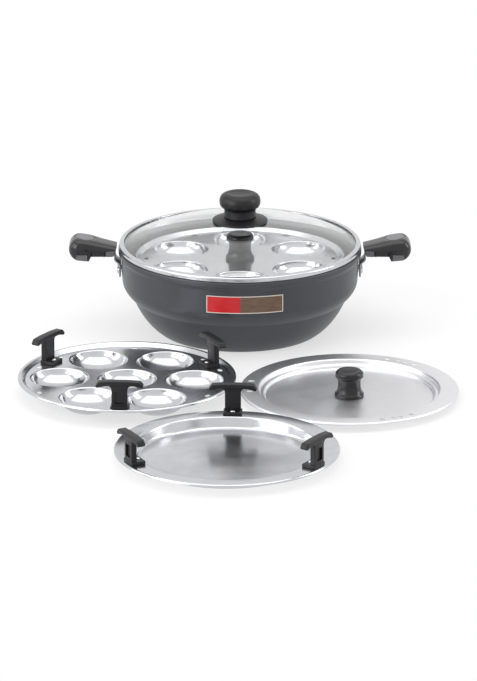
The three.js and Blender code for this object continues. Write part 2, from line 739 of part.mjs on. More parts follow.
const seatZ = heightAt(panInside, plateR) + SEAT;
const lowerPlateZ = seatZ - (PAN_PLATE_DEPTH + PLATE_T - EDGE_DROP);
const lowerFlangeZ = lowerPlateZ + PAN_PLATE_DEPTH + PLATE_T;
const upperWebZ = PAN_HEIGHT - UPPER_DROP;
const lugTop = upperWebZ - SEAT - lowerFlangeZ; // above the sheet that the lug stands on

function lugHoles(lugAngles, lugR, height) {
  return lugAngles.map((angle) => {
    const hole = rod(LUG_RIVET_R + PLAY, height - PLATE_T, height + 2 * PLATE_T);
    return hole.translate(lugR - lugRivetIn, 0, 0).rotateZ(radians(angle));
  });
}

// Drawn on +X: the middle of the stem at X zero, the sheet's top at Z zero.
function lugGeometry() {
  const half = LUG_BAR / 2;
  const under = lugTop - LUG_BAR_H;
  const stem = LUG_STEM / 2;
  const bar = new THREE.Shape()
    .moveTo(-half + 2, under - LUG_DROOP)
    .lineTo(-stem - LUG_FILLET, under)
    .lineTo(stem + LUG_FILLET, under)
    .lineTo(half - 2, under - LUG_DROOP)
    .quadraticCurveTo(half, under - LUG_DROOP, half, under)
    .quadraticCurveTo(half - 2, lugTop, half - 2 * LUG_FILLET, lugTop)
    .lineTo(-half + 2 * LUG_FILLET, lugTop)
    .quadraticCurveTo(-half + 2, lugTop, -half, under)
    .quadraticCurveTo(-half, under - LUG_DROOP, -half + 2, under - LUG_DROOP);
  const post = new THREE.Shape()
    .moveTo(-stem, SEAT + LUG_FOOT_H / 2)
    .lineTo(stem, SEAT + LUG_FOOT_H / 2)
    .lineTo(stem, under - LUG_FILLET)
    .quadraticCurveTo(stem, under + 1, stem + LUG_FILLET, under + 1)
    .lineTo(-stem - LUG_FILLET, under + 1)
    .quadraticCurveTo(-stem, under + 1, -stem, under - LUG_FILLET)
    .lineTo(-stem, SEAT + LUG_FOOT_H / 2);
  const depth = LUG_STEM_DEPTH / 2;
  const barIn = -LUG_BAR_DEPTH + depth + 1;
  const footLow = new THREE.Vector3(-depth - LUG_FOOT_REACH, -LUG_FOOT_WIDTH / 2, SEAT);
  const footHigh = new THREE.Vector3(depth + LUG_EDGE_SPACE / 3, LUG_FOOT_WIDTH / 2, SEAT + LUG_FOOT_H);
  const pocketLow = new THREE.Vector3(depth - LUG_POCKET_DEPTH, -LUG_POCKET_WIDTH / 2, SEAT + 2 * LUG_FOOT_H);
  const pocketHigh = new THREE.Vector3(2 * depth, LUG_POCKET_WIDTH / 2, under - LUG_FILLET);
  const hole = rod(LUG_RIVET_R + PLAY, -SEAT, 2 * LUG_FOOT_H).translate(-lugRivetIn, 0, 0);
  return carve(extrudeRadial(post, -depth, depth, 2), {
    additions: [extrudeRadial(bar, barIn, depth + 1, 2), boxTool(footLow, footHigh)],
    tools: [boxTool(pocketLow, pocketHigh), hole],
  });
}

function lugRivetGeometry() {
  const low = -PLATE_T - SEAT;
  const high = 2 * SEAT + LUG_FOOT_H;
  const section = [
    point(0, low - LUG_RIVET_HEAD_H),
    point(LUG_RIVET_HEAD_R, low),
    point(LUG_RIVET_R, low),
    point(LUG_RIVET_R, high),
    point(LUG_RIVET_HEAD_R, high),
    point(0, high + LUG_RIVET_HEAD_H),
  ];
  return revolve(section, PIN_ROUND);
}

// The three lugs of a plate with their rivets, on a sheet top at a height.
function lugSets(prefix, lugAngles, lugR, sheetTop) {
  return lugAngles.map((angle, i) => {
    const lug = named(`${prefix}_lug_${i + 1}`, lugGeometry(), bakelite());
    const rivet = named(`${prefix}_lug_rivet_${i + 1}`, lugRivetGeometry(), polishedSteel());
    rivet.position.x = -lugRivetIn;
    const place = groupOf(lug, rivet);
    place.position.set(lugR, 0, sheetTop);
    const turn = groupOf(place);
    turn.rotation.z = radians(angle);
    return turn;
  });
}

// Spool knob on the middle of a plate, with its screw and washer below the sheet. Where the middle is raised, a
// skirt reaches down round it.

function spoolGeometry(skirt) {
  const foot = SEAT - skirt;
  const top = foot + SPOOL_H;
  const holeTop = SPOOL_SCREW_GRIP + 2 * SEAT;
  const coverR = EMBOSS_R + EMBOSS_DRAFT + PLATE_T + 2 * SEAT;
  const outside = new THREE.Path()
    .moveTo(SPOOL_BASE_R, foot)
    .lineTo(SPOOL_BASE_R, foot + SPOOL_H * 0.1)
    .quadraticCurveTo(SPOOL_WAIST_R, foot + SPOOL_H * 0.25, SPOOL_WAIST_R, foot + SPOOL_H * 0.5)
    .quadraticCurveTo(SPOOL_WAIST_R, foot + SPOOL_H * 0.68, SPOOL_TOP_R, foot + SPOOL_H * 0.78)
    .quadraticCurveTo(SPOOL_TOP_R, top, SPOOL_TOP_R * 0.8, top)
    .lineTo(0, top)
    .getPoints(2);
  const holeR = SPOOL_SCREW_R + PLAY;
  const inside = [point(0, holeTop), point(holeR, holeTop), point(holeR, SEAT)];
  if (skirt > 0) inside.push(point(coverR, SEAT), point(coverR, foot));
  return revolve([...inside, ...outside], KNOB_ROUND);
}

function spoolScrewGeometry() {
  const under = -PLATE_T - SPOOL_WASHER_T - 2 * SEAT;
  const section = [
    point(0, under - SPOOL_SCREW_HEAD_H),
    point(SPOOL_SCREW_HEAD_R * 0.7, under - SPOOL_SCREW_HEAD_H),
    point(SPOOL_SCREW_HEAD_R, under),
    point(SPOOL_SCREW_R, under),
    point(SPOOL_SCREW_R, SEAT + SPOOL_SCREW_GRIP),
    point(0, SEAT + SPOOL_SCREW_GRIP),
  ];
  return revolve(section, PIN_ROUND);
}

function spoolSet(prefix, sheetTop, skirt) {
  const washerTop = -PLATE_T - SEAT;
  const washerFoot = washerTop - SPOOL_WASHER_T;
  const ring = washer(SPOOL_SCREW_R + PLAY, SPOOL_WASHER_R, washerFoot, washerTop, PIN_ROUND);
  const group = groupOf(
    named(`${prefix}_knob`, spoolGeometry(skirt), bakelite()),
    named(`${prefix}_knob_screw`, spoolScrewGeometry(), polishedSteel()),
    named(`${prefix}_knob_washer`, ring, polishedSteel()),
  );
  group.position.z = sheetTop;
  return group;
}

// The plates with what is fixed to them

function panPlate(name, prefix, lugAngles) {
  return groupOf(
    named(name, panPlateGeometry(lugAngles), polishedSteel()),
    ...lugSets(prefix, lugAngles, panLugR, PAN_PLATE_DEPTH + PLATE_T),
  );
}

function sevenCupPlate() {
  const lugAngles = IDLI_LUG_ANGLES;
  const holes = lugAngles.flatMap((angle) => [angle - LUG_HOLE_ANGLE, angle + LUG_HOLE_ANGLE, angle + 60]);
  const centres = [[0, 0], ...ringOfSix(SEVEN_CUP_PITCH, 0)];
  const geometry = cupPlateGeometry(centres, { centreHoleR: 0, holes, lugAngles });
  const lugs = lugSets('idli', lugAngles, cupLugR, webTop);
  return groupOf(named('idli_plate', geometry, polishedSteel()), ...lugs);
}

function sixCupPlate() {
  const holes = [0, 60, 120, 180, 240, 300];
  const options = { centreHoleR: SPOOL_SCREW_R + PLAY, holes, lugAngles: [] };
  const geometry = cupPlateGeometry(ringOfSix(SIX_CUP_PITCH, 30), options);
  return groupOf(named('upper_idli_plate', geometry, polishedSteel()), spoolSet('upper_plate', webTop, 0));
}

function slotPlate() {
  return groupOf(
    named('steamer_plate', slotPlateGeometry(), polishedSteel()),
    spoolSet('steamer', EMBOSS_H + PLATE_T, EMBOSS_H),
  );
}

// Assembly

const lowerPlate = panPlate('lower_dhokla_plate', 'lower', LOWER_LUG_ANGLES);
lowerPlate.position.z = lowerPlateZ;

const upperPlate = sixCupPlate();
upperPlate.position.z = upperWebZ - webZ;

// On the table the three plates touch neither the pan, even when lifted past its rim, nor each other.
const plateReach = RIM_R + plateR + TABLE_GAP;
const neighbourReach = 2 * plateR + TABLE_GAP;
const sideX = neighbourReach / 2;
const sideY = Math.sqrt(plateReach ** 2 - (sideX - TABLE_SHIFT) ** 2);
const frontY = sideY + Math.sqrt(neighbourReach ** 2 - sideX ** 2);

const idliPlate = sevenCupPlate();
idliPlate.position.set(TABLE_SHIFT - sideX, -sideY, 0);

const steamerPlate = slotPlate();
steamerPlate.position.set(TABLE_SHIFT + sideX, -sideY, 0);

const dhoklaPlate = panPlate('dhokla_plate', 'dhokla', DHOKLA_LUG_ANGLES);
dhoklaPlate.position.set(TABLE_SHIFT, -frontY, 0);

const table = groupOf(idliPlate, steamerPlate, dhoklaPlate);
table.rotation.z = radians(TABLE_TURN);

const multiKadai = groupOf(
  named('kadai_bowl', panGeometry(), anodised()),
  handleSet('right', 0),
  handleSet('left', Math.PI),
  lidGroup(),
  lowerPlate,
  upperPlate,
  table,
);

export default multiKadai;
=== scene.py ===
# %% [markdown]
# # A kadai with its steaming plates
# A kadai is a wide cooking pan. This one is spun from aluminium, hard-anodised dark grey, and has a step in its
# wall. The step is a ledge inside, and the ledge carries a stack of steel plates for steaming. The CAD model gives
# every piece its size and place. This lesson gives each piece its true curve and its finish.

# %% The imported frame
import math

import bmesh
import bpy
from mathutils import Matrix, Vector


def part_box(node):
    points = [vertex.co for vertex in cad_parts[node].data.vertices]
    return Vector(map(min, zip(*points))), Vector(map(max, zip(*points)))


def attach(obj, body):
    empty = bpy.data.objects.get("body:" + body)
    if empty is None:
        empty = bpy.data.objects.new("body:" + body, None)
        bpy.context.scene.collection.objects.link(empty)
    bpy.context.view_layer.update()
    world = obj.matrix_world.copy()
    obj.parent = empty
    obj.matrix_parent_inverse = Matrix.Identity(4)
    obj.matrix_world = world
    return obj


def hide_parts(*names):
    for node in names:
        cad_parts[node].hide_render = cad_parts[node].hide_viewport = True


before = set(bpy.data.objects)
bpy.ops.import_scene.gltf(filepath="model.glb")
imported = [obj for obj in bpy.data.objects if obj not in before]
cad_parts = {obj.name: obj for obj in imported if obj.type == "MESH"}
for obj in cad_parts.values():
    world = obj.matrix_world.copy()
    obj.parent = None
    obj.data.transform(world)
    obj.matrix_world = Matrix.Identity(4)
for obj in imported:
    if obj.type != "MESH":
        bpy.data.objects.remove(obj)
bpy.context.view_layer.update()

MM = 0.001

# %% [markdown]
# ## The view
# The set is seen from the front and a little above, with a long lens from far away, so the near plates are hardly
# larger than the pan. The camera is made first, because every later judgement is made through it. A long lens is
# better than a near camera here: the pan and the plates keep their sizes relative to each other.

# %% Camera
VIEW_DISTANCE = 6000 * MM
VIEW_ELEVATION = math.radians(18.265)
VIEW_TARGET = Vector((-1.65, -48.3, 0)) * MM
VIEW_LENS = 283.9

back = Vector((0, -math.cos(VIEW_ELEVATION), math.sin(VIEW_ELEVATION)))
camera = bpy.data.objects.new("camera", bpy.data.cameras.new("camera"))
camera.data.lens = VIEW_LENS
camera.location = VIEW_TARGET + back * VIEW_DISTANCE
camera.rotation_euler = (-back).to_track_quat("-Z", "Y").to_euler()
bpy.context.collection.objects.link(camera)
bpy.context.scene.camera = camera
print("camera at", tuple(round(x, 3) for x in camera.location))

# %% [markdown]
# ## Helpers for node trees
# Colours are picked on a screen, so they are sRGB hex values, and Blender calculates with linear light. One function
# turns the first into the second. Another adds a node to a tree, sets it and wires it, so a whole material reads as a
# short list. Two more start a material and give it the uneven tone and roughness that most finishes here have.

# %% Colour and node helpers
def linear(hex_colour):
    """An sRGB hex colour as a linear RGBA value."""
    channels = [int(hex_colour[i:i + 2], 16) / 255 for i in (1, 3, 5)]
    return (*[c / 12.92 if c <= 0.04045 else ((c + 0.055) / 1.055) ** 2.4 for c in channels], 1)


def add_node(tree, kind, inputs=(), output=0, **settings):
    """Adds a node, sets it, fills its inputs with values or links, and returns one of its outputs."""
    node = tree.nodes.new(kind)
    for name, value in settings.items():
        setattr(node, name, value)
    for key, value in inputs.items() if isinstance(inputs, dict) else enumerate(inputs):
        if isinstance(value, bpy.types.NodeSocket):
            tree.links.new(value, node.inputs[key])
        else:
            node.inputs[key].default_value = value
    return node.outputs[output] if node.outputs else None


# The kinds of node that most trees below use
NOISE, BUMP, MIX, RANGE = "ShaderNodeTexNoise", "ShaderNodeBump", "ShaderNodeMix", "ShaderNodeMapRange"
MATH, VECTOR, MAPPING = "ShaderNodeMath", "ShaderNodeVectorMath", "ShaderNodeMapping"
PARTS, XYZ = "ShaderNodeSeparateXYZ", "ShaderNodeCombineXYZ"
PRINCIPLED, MIX_SHADER, LIGHT_PATH = "ShaderNodeBsdfPrincipled", "ShaderNodeMixShader", "ShaderNodeLightPath"
SURFACE = "ShaderNodeOutputMaterial"
MIX_A, MIX_B, MIX_COLOUR = 6, 7, 2  # sockets of a Mix node that mixes colours
WAVE_FACTOR = 1  # socket of a Wave texture's grey value
SMOOTH = {"interpolation_type": "SMOOTHSTEP"}
WAVE_PERIOD = 2 * math.pi / 20  # a Wave texture of scale 1 repeats after this many metres
print("white is", linear("#ffffff")[0])

# %% Material helpers
def start_material(name):
    """A new material with an empty tree, and the socket of its Object coordinates."""
    material = bpy.data.materials.new(name)
    material.use_nodes = True
    material.node_tree.nodes.clear()
    return material, material.node_tree, add_node(material.node_tree, "ShaderNodeTexCoord", output="Object")


def mottled(tree, tones, share, rough_range, rough_share=None):
    """Shader inputs: a colour between two tones and a roughness between two values, each led by a pattern."""
    colour = add_node(tree, MIX, {0: share, MIX_A: linear(tones[0]), MIX_B: linear(tones[1])}, MIX_COLOUR,
                      data_type="RGBA")
    rough = add_node(tree, RANGE, (share if rough_share is None else rough_share, 0, 1, *rough_range))
    return {"Base Color": colour, "Roughness": rough}


print("helpers", start_material.__name__, "and", mottled.__name__)

# %% [markdown]
# ## Hard-anodised aluminium
# Hard anodising grows a thick, dark oxide on the metal. It looks satin, between paint and metal, and keeps the fine
# rings of the spinning lathe. The true grit is far below a pixel, so the grain is drawn at 1.4 mm and the rings at
# 1.8 mm, only just strong enough to break up the highlight.

# %% Hard-anodised aluminium
def hard_anodised():
    material, tree, place = start_material("hard anodised aluminium")
    grain = add_node(tree, NOISE, {"Vector": place, "Scale": 1 / (1.4 * MM), "Detail": 3})
    cloud = add_node(tree, NOISE, {"Vector": place, "Scale": 1 / (60 * MM), "Detail": 2})
    rings = add_node(tree, "ShaderNodeTexWave",
                     {"Vector": place, "Scale": WAVE_PERIOD / (1.8 * MM), "Distortion": 0.6, "Detail": 1},
                     WAVE_FACTOR, bands_direction="Z")
    fine = add_node(tree, BUMP, {"Height": grain, "Strength": 0.12, "Distance": 0.1 * MM})
    spun = add_node(tree, BUMP, {"Height": rings, "Strength": 0.1, "Distance": 0.05 * MM, "Normal": fine})
    finish = mottled(tree, ("#484a4e", "#525457"), cloud, (0.32, 0.44), grain)
    shader = add_node(tree, PRINCIPLED, {**finish, "Metallic": 0.85, "Normal": spun})
    add_node(tree, SURFACE, {"Surface": shader})
    return material


ANODISED = hard_anodised()
print("made", ANODISED.name)

# %% [markdown]
# ## Black phenolic moulding
# Handles, knobs and lugs are moulded from a black phenolic resin that stays cool. It comes out of a polished mould
# nearly glossy, with a faint orange-peel and cloudy flow marks. Noise drives both: a broad one for the flow, a fine
# one of about 1.2 mm for the skin. The spools are glossy, the lid's knob and the lugs satin. The handles have paler
# panels, partly a blasted finish and partly painted highlight, so each gets its own range of roughness and the handles
# a mask for the panels.

# %% Black phenolic
def phenolic(name, rough_range, ior, panels=None):
    material, tree, place = start_material(name)
    flow = add_node(tree, NOISE, {"Vector": place, "Scale": 1 / (14 * MM), "Detail": 3, "Distortion": 0.8})
    skin = add_node(tree, NOISE, {"Vector": place, "Scale": 1 / (1.2 * MM), "Detail": 2})
    finish = mottled(tree, ("#101012", "#17171a"), flow, rough_range)
    # Paler panels: partly a blasted finish, partly painted highlight, mixed into the base colour and roughness.
    if panels:
        where = panels(tree, place)
        finish["Base Color"] = add_node(tree, MIX, {0: where, MIX_A: finish["Base Color"], MIX_B: linear("#78787c")},
                                        MIX_COLOUR, data_type="RGBA")
        finish["Roughness"] = add_node(tree, MIX, {0: where, 2: finish["Roughness"], 3: 0.55})
    peel = add_node(tree, BUMP, {"Height": skin, "Strength": 0.1, "Distance": 0.1 * MM})
    shader = add_node(tree, PRINCIPLED, {**finish, "IOR": ior, "Normal": peel})
    add_node(tree, SURFACE, {"Surface": shader})
    return material


PHENOLIC = phenolic("black phenolic moulding", (0.16, 0.32), 1.45)
SATIN = phenolic("satin phenolic moulding", (0.34, 0.48), 1.4)
print("made", PHENOLIC.name, "and", SATIN.name)

# %% [markdown]
# ## Polished stainless steel
# The plates are pressed from thin stainless sheet and buffed while they spin. The surface is nearly a mirror. Three
# things keep it from looking like a perfect one: faint rings about the plate's own middle, smudges that dull it here
# and there, and the slight waves of thin sheet, which bend what it mirrors. A Mapping node puts the rings on the
# middle. Real buffing lines are far finer than a pixel, so the rings are drawn 1.5 mm apart.

# %% Polished stainless steel
def polished_stainless(name, middle, rough_range=(0.1, 0.28), tones=("#cfcfd2", "#bebfc3")):
    material, tree, place = start_material(f"polished stainless steel {name}")
    centred = add_node(tree, MAPPING, {"Vector": place, "Location": (-middle[0], -middle[1], 0)})
    rings = add_node(tree, "ShaderNodeTexWave",
                     {"Vector": centred, "Scale": WAVE_PERIOD / (1.5 * MM), "Distortion": 0.8, "Detail": 1},
                     WAVE_FACTOR, wave_type="RINGS", rings_direction="Z")
    smudge = add_node(tree, NOISE, {"Vector": centred, "Scale": 1 / (26 * MM), "Detail": 4, "Roughness": 0.6})
    wave = add_node(tree, NOISE, {"Vector": centred, "Scale": 1 / (95 * MM), "Detail": 1})
    warp = add_node(tree, BUMP, {"Height": wave, "Strength": 1, "Distance": 2.2 * MM})
    buffed = add_node(tree, BUMP, {"Height": rings, "Strength": 0.06, "Distance": 0.03 * MM, "Normal": warp})
    finish = mottled(tree, tones, smudge, rough_range)
    shader = add_node(tree, PRINCIPLED, {**finish, "Metallic": 1, "Normal": buffed})
    add_node(tree, SURFACE, {"Surface": shader})
    return material


def middle_of(node):
    """The middle of a CAD node's box, seen from above."""
    low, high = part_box(node)
    return ((low.x + high.x) / 2, (low.y + high.y) / 2)


PAN_STEEL = polished_stainless("on the pan", (0, 0))
IDLI_STEEL = polished_stainless("seven cups", middle_of("idli_plate"))
DHOKLA_STEEL = polished_stainless("pan plate", middle_of("dhokla_plate"))
STEAMER_STEEL = polished_stainless("slotted plate", middle_of("steamer_plate"), (0.3, 0.44), ("#e2e2e4", "#d6d6d9"))
print("steel centred on", [tuple(round(c / MM) for c in middle_of(n)) for n in ("idli_plate", "steamer_plate")])

# %% [markdown]
# ## Satin strip, brass and silicone
# The brackets are bent from rolled strip, which is duller than the plates and has streaks along its length. The insert
# in the knob is turned brass, and a soft silicone ring keeps the screw's washer off the glass. All three follow one
# recipe, a noise that is stretched and mixed between two tones, so one function makes them from their own values.

# %% Strip steel, brass and silicone
def streaked(name, tones, stretch, rough_range, metallic):
    material, tree, place = start_material(name)
    drawn = add_node(tree, MAPPING, {"Vector": place, "Scale": stretch})
    streaks = add_node(tree, NOISE, {"Vector": drawn, "Scale": 1 / (1.5 * MM), "Detail": 3})
    grain = add_node(tree, BUMP, {"Height": streaks, "Strength": 0.1, "Distance": 0.05 * MM})
    finish = mottled(tree, tones, streaks, rough_range)
    shader = add_node(tree, PRINCIPLED, {**finish, "Metallic": metallic, "Normal": grain})
    add_node(tree, SURFACE, {"Surface": shader})
    return material


STRIP = streaked("rolled steel strip", ("#a9abae", "#8b8d91"), (1, 1, 0.06), (0.26, 0.4), 1)
BRASS = streaked("turned brass", ("#b8944e", "#a07c3a"), (1, 1, 4), (0.25, 0.4), 1)
SILICONE = streaked("grey silicone", ("#3a3a3d", "#2c2c2f"), (1, 1, 1), (0.6, 0.75), 0)
print("made", STRIP.name, BRASS.name, SILICONE.name)

# %% [markdown]
# ## Tempered glass
# The lid is clear glass. A Principled shader with full transmission bends and mirrors light as glass does. In Cycles,
# light that is bent on its way from a lamp hardly ever arrives, and the pan would stay black inside. So a Light Path
# node lets shadow rays pass straight through. A faint noise dulls the glass a little, as washing does.

# %% Tempered glass
def tempered_glass():
    material, tree, place = start_material("tempered glass")
    film = add_node(tree, NOISE, {"Vector": place, "Scale": 1 / (45 * MM), "Detail": 3})
    finish = mottled(tree, ("#ffffff", "#fbfdfc"), film, (0, 0.02))
    glass = add_node(tree, PRINCIPLED, {**finish, "IOR": 1.5, "Transmission Weight": 1})
    clear = add_node(tree, "ShaderNodeBsdfTransparent", {"Color": linear("#f0f5f3")})
    in_shadow = add_node(tree, LIGHT_PATH, output="Is Shadow Ray")
    add_node(tree, SURFACE, {"Surface": add_node(tree, MIX_SHADER, (in_shadow, glass, clear))})
    return material


GLASS = tempered_glass()
print("made", GLASS.name)

# %% [markdown]
# ## Lines and turned shapes
# Nearly everything here was spun or pressed round an axis, so a piece starts as a line of (radius, height) corners.
# Each corner has a radius of its own, because sheet metal never has a sharp bend, and those bends carry the
# highlights. A second line beside the first gives the sheet its thickness. Turning the closed outline makes a solid.

# %% Line helpers
def rounded(corners, closed=False, steps=6):
    """A line through (out, up, radius) corners in millimetres, with an arc at each corner that has a radius."""
    line = []
    count = len(corners)
    for i, (out, up, radius) in enumerate(corners):
        here = Vector((out, up)) * MM
        if radius == 0 or (not closed and i in (0, count - 1)):
            line.append(here)
            continue
        to_last = (Vector(corners[i - 1][:2]) * MM - here).normalized()
        to_next = (Vector(corners[(i + 1) % count][:2]) * MM - here).normalized()
        half = to_last.angle(to_next) / 2
        reach = radius * MM / math.tan(half)
        centre = here + (to_last + to_next).normalized() * (radius * MM / math.sin(half))
        start, end = here + to_last * reach - centre, here + to_next * reach - centre
        line += [centre + start.lerp(end, k / steps).normalized() * radius * MM for k in range(steps + 1)]
    return line


def curve(start, bend, end, steps=14):
    """Corners along a quadratic curve, in millimetres."""
    points = []
    for k in range(steps + 1):
        t = k / steps
        r, z = ((1 - t) ** 2 * a + 2 * t * (1 - t) * b + t * t * c for a, b, c in zip(start, bend, end))
        points.append((r, z, 0))
    return points


def raised(corners, base):
    """Corners whose heights are counted from a base."""
    return [(r, z + base, radius) for r, z, radius in corners]


print(len(rounded([(0, 0, 0), (10, 0, 2), (10, 10, 0)])), "points in a rounded corner")

# %% Sheet helpers
def left_of(line, distance):
    """The line moved to its left by a distance in metres, with mitred corners."""
    def normal(a, b):
        along = (b - a).normalized()
        return Vector((-along.y, along.x))

    moved = []
    last = len(line) - 1
    for i, here in enumerate(line):
        arriving = normal(line[max(i - 1, 0)], line[max(i, 1)])
        leaving = normal(line[min(i, last - 1)], line[min(i + 1, last)])
        moved.append(here + (arriving + leaving) / (1 + arriving.dot(leaving)) * distance)
    return moved


def sheet_outline(line, wall):
    """The closed outline of a sheet that follows a line and is a wall thick, to its left."""
    return line + left_of(line, wall)[::-1]


print(len(sheet_outline(rounded([(0, 0, 0), (10, 0, 0)]), MM)), "corners in the outline of a flat sheet")

# %% Turning helpers
AXIS = 1e-7  # a radius below this lies on the axis
RIM_SIDES, SHEET_SIDES, KNOB_SIDES, CUP_SIDES = 192, 160, 96, 72  # corners round a turned piece
SPOOL_SIDES, FIXING_SIDES, RIVET_SIDES = 72, 64, 32


def turn_into(mesh, line, segments, middle=(0, 0)):
    """Turns a line about an upright axis into an open bmesh and returns its rings of corners."""
    rings = []
    for r, z in line:
        if r < AXIS:
            rings.append([mesh.verts.new((*middle, z))])
            continue
        angles = [2 * math.pi * k / segments for k in range(segments)]
        rings.append([mesh.verts.new((middle[0] + r * math.cos(a), middle[1] + r * math.sin(a), z)) for a in angles])
    for low, high in zip(rings, rings[1:]):
        join_rings(mesh, low, high, segments)
    return rings


def join_rings(mesh, low, high, segments):
    for k in range(segments):
        after = (k + 1) % segments
        corners = [low[k % len(low)], low[after % len(low)], high[after % len(high)], high[k % len(high)]]
        corners = list(dict.fromkeys(corners))
        if len(corners) > 2:
            mesh.faces.new(corners)


def to_object(name, mesh, outward=True):
    """A linked object from a bmesh, its faces turned outwards."""
    if outward:
        bmesh.ops.recalc_face_normals(mesh, faces=mesh.faces)
    data = bpy.data.meshes.new(name)
    mesh.to_mesh(data)
    mesh.free()
    obj = bpy.data.objects.new(name, data)
    bpy.context.collection.objects.link(obj)
    return obj


def turned(name, outline, segments=128, middle=(0, 0)):
    """A solid from a closed outline turned about an upright axis."""
    mesh = bmesh.new()
    rings = turn_into(mesh, outline, segments, middle)
    if outline[0].x > AXIS:
        join_rings(mesh, rings[-1], rings[0], segments)
    return to_object(name, mesh)


print("turned pieces have", RIVET_SIDES, "to", RIM_SIDES, "sides")

# %% Finishing helpers
SHARP = 35  # degrees between two faces


def settle(obj):
    """Replaces an object's mesh by what its modifiers make of it, and removes them."""
    depsgraph = bpy.context.evaluated_depsgraph_get()
    made = bpy.data.meshes.new_from_object(obj.evaluated_get(depsgraph))
    obj.modifiers.clear()
    obj.data = made
    return obj


def dress(obj, material, body, slot, *nodes, sharp=SHARP):
    """Shades a piece, gives it its finish, and hands it to the body that carries it."""
    obj.data.shade_smooth()
    obj.data.set_sharp_from_angle(angle=math.radians(sharp))
    obj.data.materials.clear()
    obj.data.materials.append(material)
    obj.data.polygons.foreach_set("material_index", [0] * len(obj.data.polygons))
    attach(obj, body)
    if nodes:
        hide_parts(*nodes)
    print(obj.name, len(obj.data.polygons), "faces for", ", ".join(nodes) or "no CAD node")
    return obj


print("edges of more than", SHARP, "degrees stay sharp")

# %% [markdown]
# ## The pan
# The real pan is spun over a former: flat base, rounded belly, a crease, a shoulder, an upright wall and a stepped lip.
# One outline holds all of it. The inner face is the outer one moved in by the wall, so the ledge inside follows from
# the crease outside, as it does in the metal.

# %% Pan
PAN_WALL = 3 * MM
RIM_R, PAN_H = 136, 94.5
crease = (120.2, 39.5)
pan_corners = [(0, 0, 0), (90, 0, 6), *curve((90, 0), (109, 12), crease)[1:-1], (*crease, 2.2)]
pan_corners += [*curve(crease, (132, 49), (132, 59), 10)[1:], (133.2, PAN_H - 10, 2.5), (RIM_R, PAN_H - 6, 3.6)]
pan_corners += [(RIM_R, PAN_H, 0.9), (RIM_R - 3, PAN_H, 0.9), (RIM_R - 3, PAN_H - 2, 0)]
pan_line = rounded(pan_corners)
outer_end = next(i for i, p in enumerate(pan_line) if p.y > (PAN_H - 2) * MM)
pan_inside = left_of(pan_line[:outer_end], PAN_WALL)[::-1]
pan = turned("kadai_body", pan_line + pan_inside, RIM_SIDES)
dress(pan, ANODISED, "kadai", "anodised_aluminium", "kadai_bowl")

# %% [markdown]
# ## The label
# A small printed sticker sits on the front wall: a red field, a brown field and a pale border. It is a thin patch of
# sheet that follows the wall, a fifth of a millimetre proud of it. A UV map runs over it, so the fields are drawn in
# shares of its own width and height. Mirror rays skip it, so the plates in front stay free of red specks.

# %% Label's print
LABEL_W, LABEL_H, LABEL_Z, LABEL_X = 86, 20, 68.5, 5.5
LABEL_BORDER, RED_SHARE = 0.9, 0.44


def label_material():
    material, tree, _ = start_material("printed label")
    uv = add_node(tree, "ShaderNodeUVMap", uv_map="label")
    along, up = add_node(tree, PARTS, (uv,)).node.outputs[:2]
    grain = add_node(tree, NOISE, {"Vector": uv, "Scale": 9, "Detail": 4})
    red, brown = (add_node(tree, MIX, {0: grain, MIX_A: linear(dark), MIX_B: linear(pale)}, MIX_COLOUR,
                           data_type="RGBA") for dark, pale in (("#d3262c", "#b3161d"), ("#4a3527", "#7d6552")))
    border = 0.0
    for socket, size in ((along, LABEL_W), (up, LABEL_H)):
        off = add_node(tree, MATH, (socket, 0.5), operation="SUBTRACT")
        far = add_node(tree, MATH, (off,), operation="ABSOLUTE")
        margin = add_node(tree, MATH, (far, 0.5 - LABEL_BORDER / size), operation="GREATER_THAN")
        border = add_node(tree, MATH, (margin, border), operation="MAXIMUM")
    colour, is_brown = red, add_node(tree, MATH, (along, RED_SHARE), operation="GREATER_THAN")
    for where, other in ((is_brown, brown), (border, linear("#d9d2c8"))):
        colour = add_node(tree, MIX, {0: where, MIX_A: colour, MIX_B: other}, MIX_COLOUR, data_type="RGBA")
    add_node(tree, SURFACE, {"Surface": add_node(tree, PRINCIPLED, {"Base Color": colour, "Roughness": 0.32})})
    return material


LABEL_PRINT = label_material()
print("made", LABEL_PRINT.name)

# %% Label's patch
LABEL_PROUD, LABEL_T = 0.2, 0.15


def wall_radius(z):
    """Radius of the pan's outer wall at a height, in metres."""
    pairs = zip(pan_line, pan_line[1:])
    low, high = next((a, b) for a, b in pairs if a.y <= z <= b.y and a.x > 0.1)
    return low.x + (high.x - low.x) * (z - low.y) / max(high.y - low.y, 1e-9)


def label_patch(columns=40, rows=10):
    mesh = bmesh.new()
    uv_layer = mesh.loops.layers.uv.new("label")
    grid, places = [], {}
    for j in range(rows + 1):
        z = (LABEL_Z + LABEL_H * (j / rows - 0.5)) * MM
        r = wall_radius(z) + LABEL_PROUD * MM
        row = []
        for i in range(columns + 1):
            along = (LABEL_X + LABEL_W * (i / columns - 0.5)) * MM
            angle = along / r
            corner = mesh.verts.new((r * math.sin(angle), -r * math.cos(angle), z))
            places[corner] = (i / columns, j / rows)
            row.append(corner)
        grid.append(row)
    for low, high in zip(grid, grid[1:]):
        for i in range(columns):
            face = mesh.faces.new((low[i], low[i + 1], high[i + 1], high[i]))
            for loop in face.loops:
                loop[uv_layer].uv = places[loop.vert]
    label = to_object("front_label", mesh, outward=False)
    thickness = label.modifiers.new("Paper", "SOLIDIFY")
    thickness.thickness, thickness.offset = LABEL_T * MM, -1
    return settle(label)


label = dress(label_patch(), LABEL_PRINT, "kadai", None)
label.visible_glossy = False

# %% [markdown]
# ## Copies in a ring or a row
# Rivets, lugs, slots and steam holes all repeat. Geometry Nodes place such copies by rule: one tree sets copies of a
# piece round an upright axis, another in a row. Their counts and distances are named inputs. Each tree realises its
# copies and sets their finish, so the result can become a plain mesh.

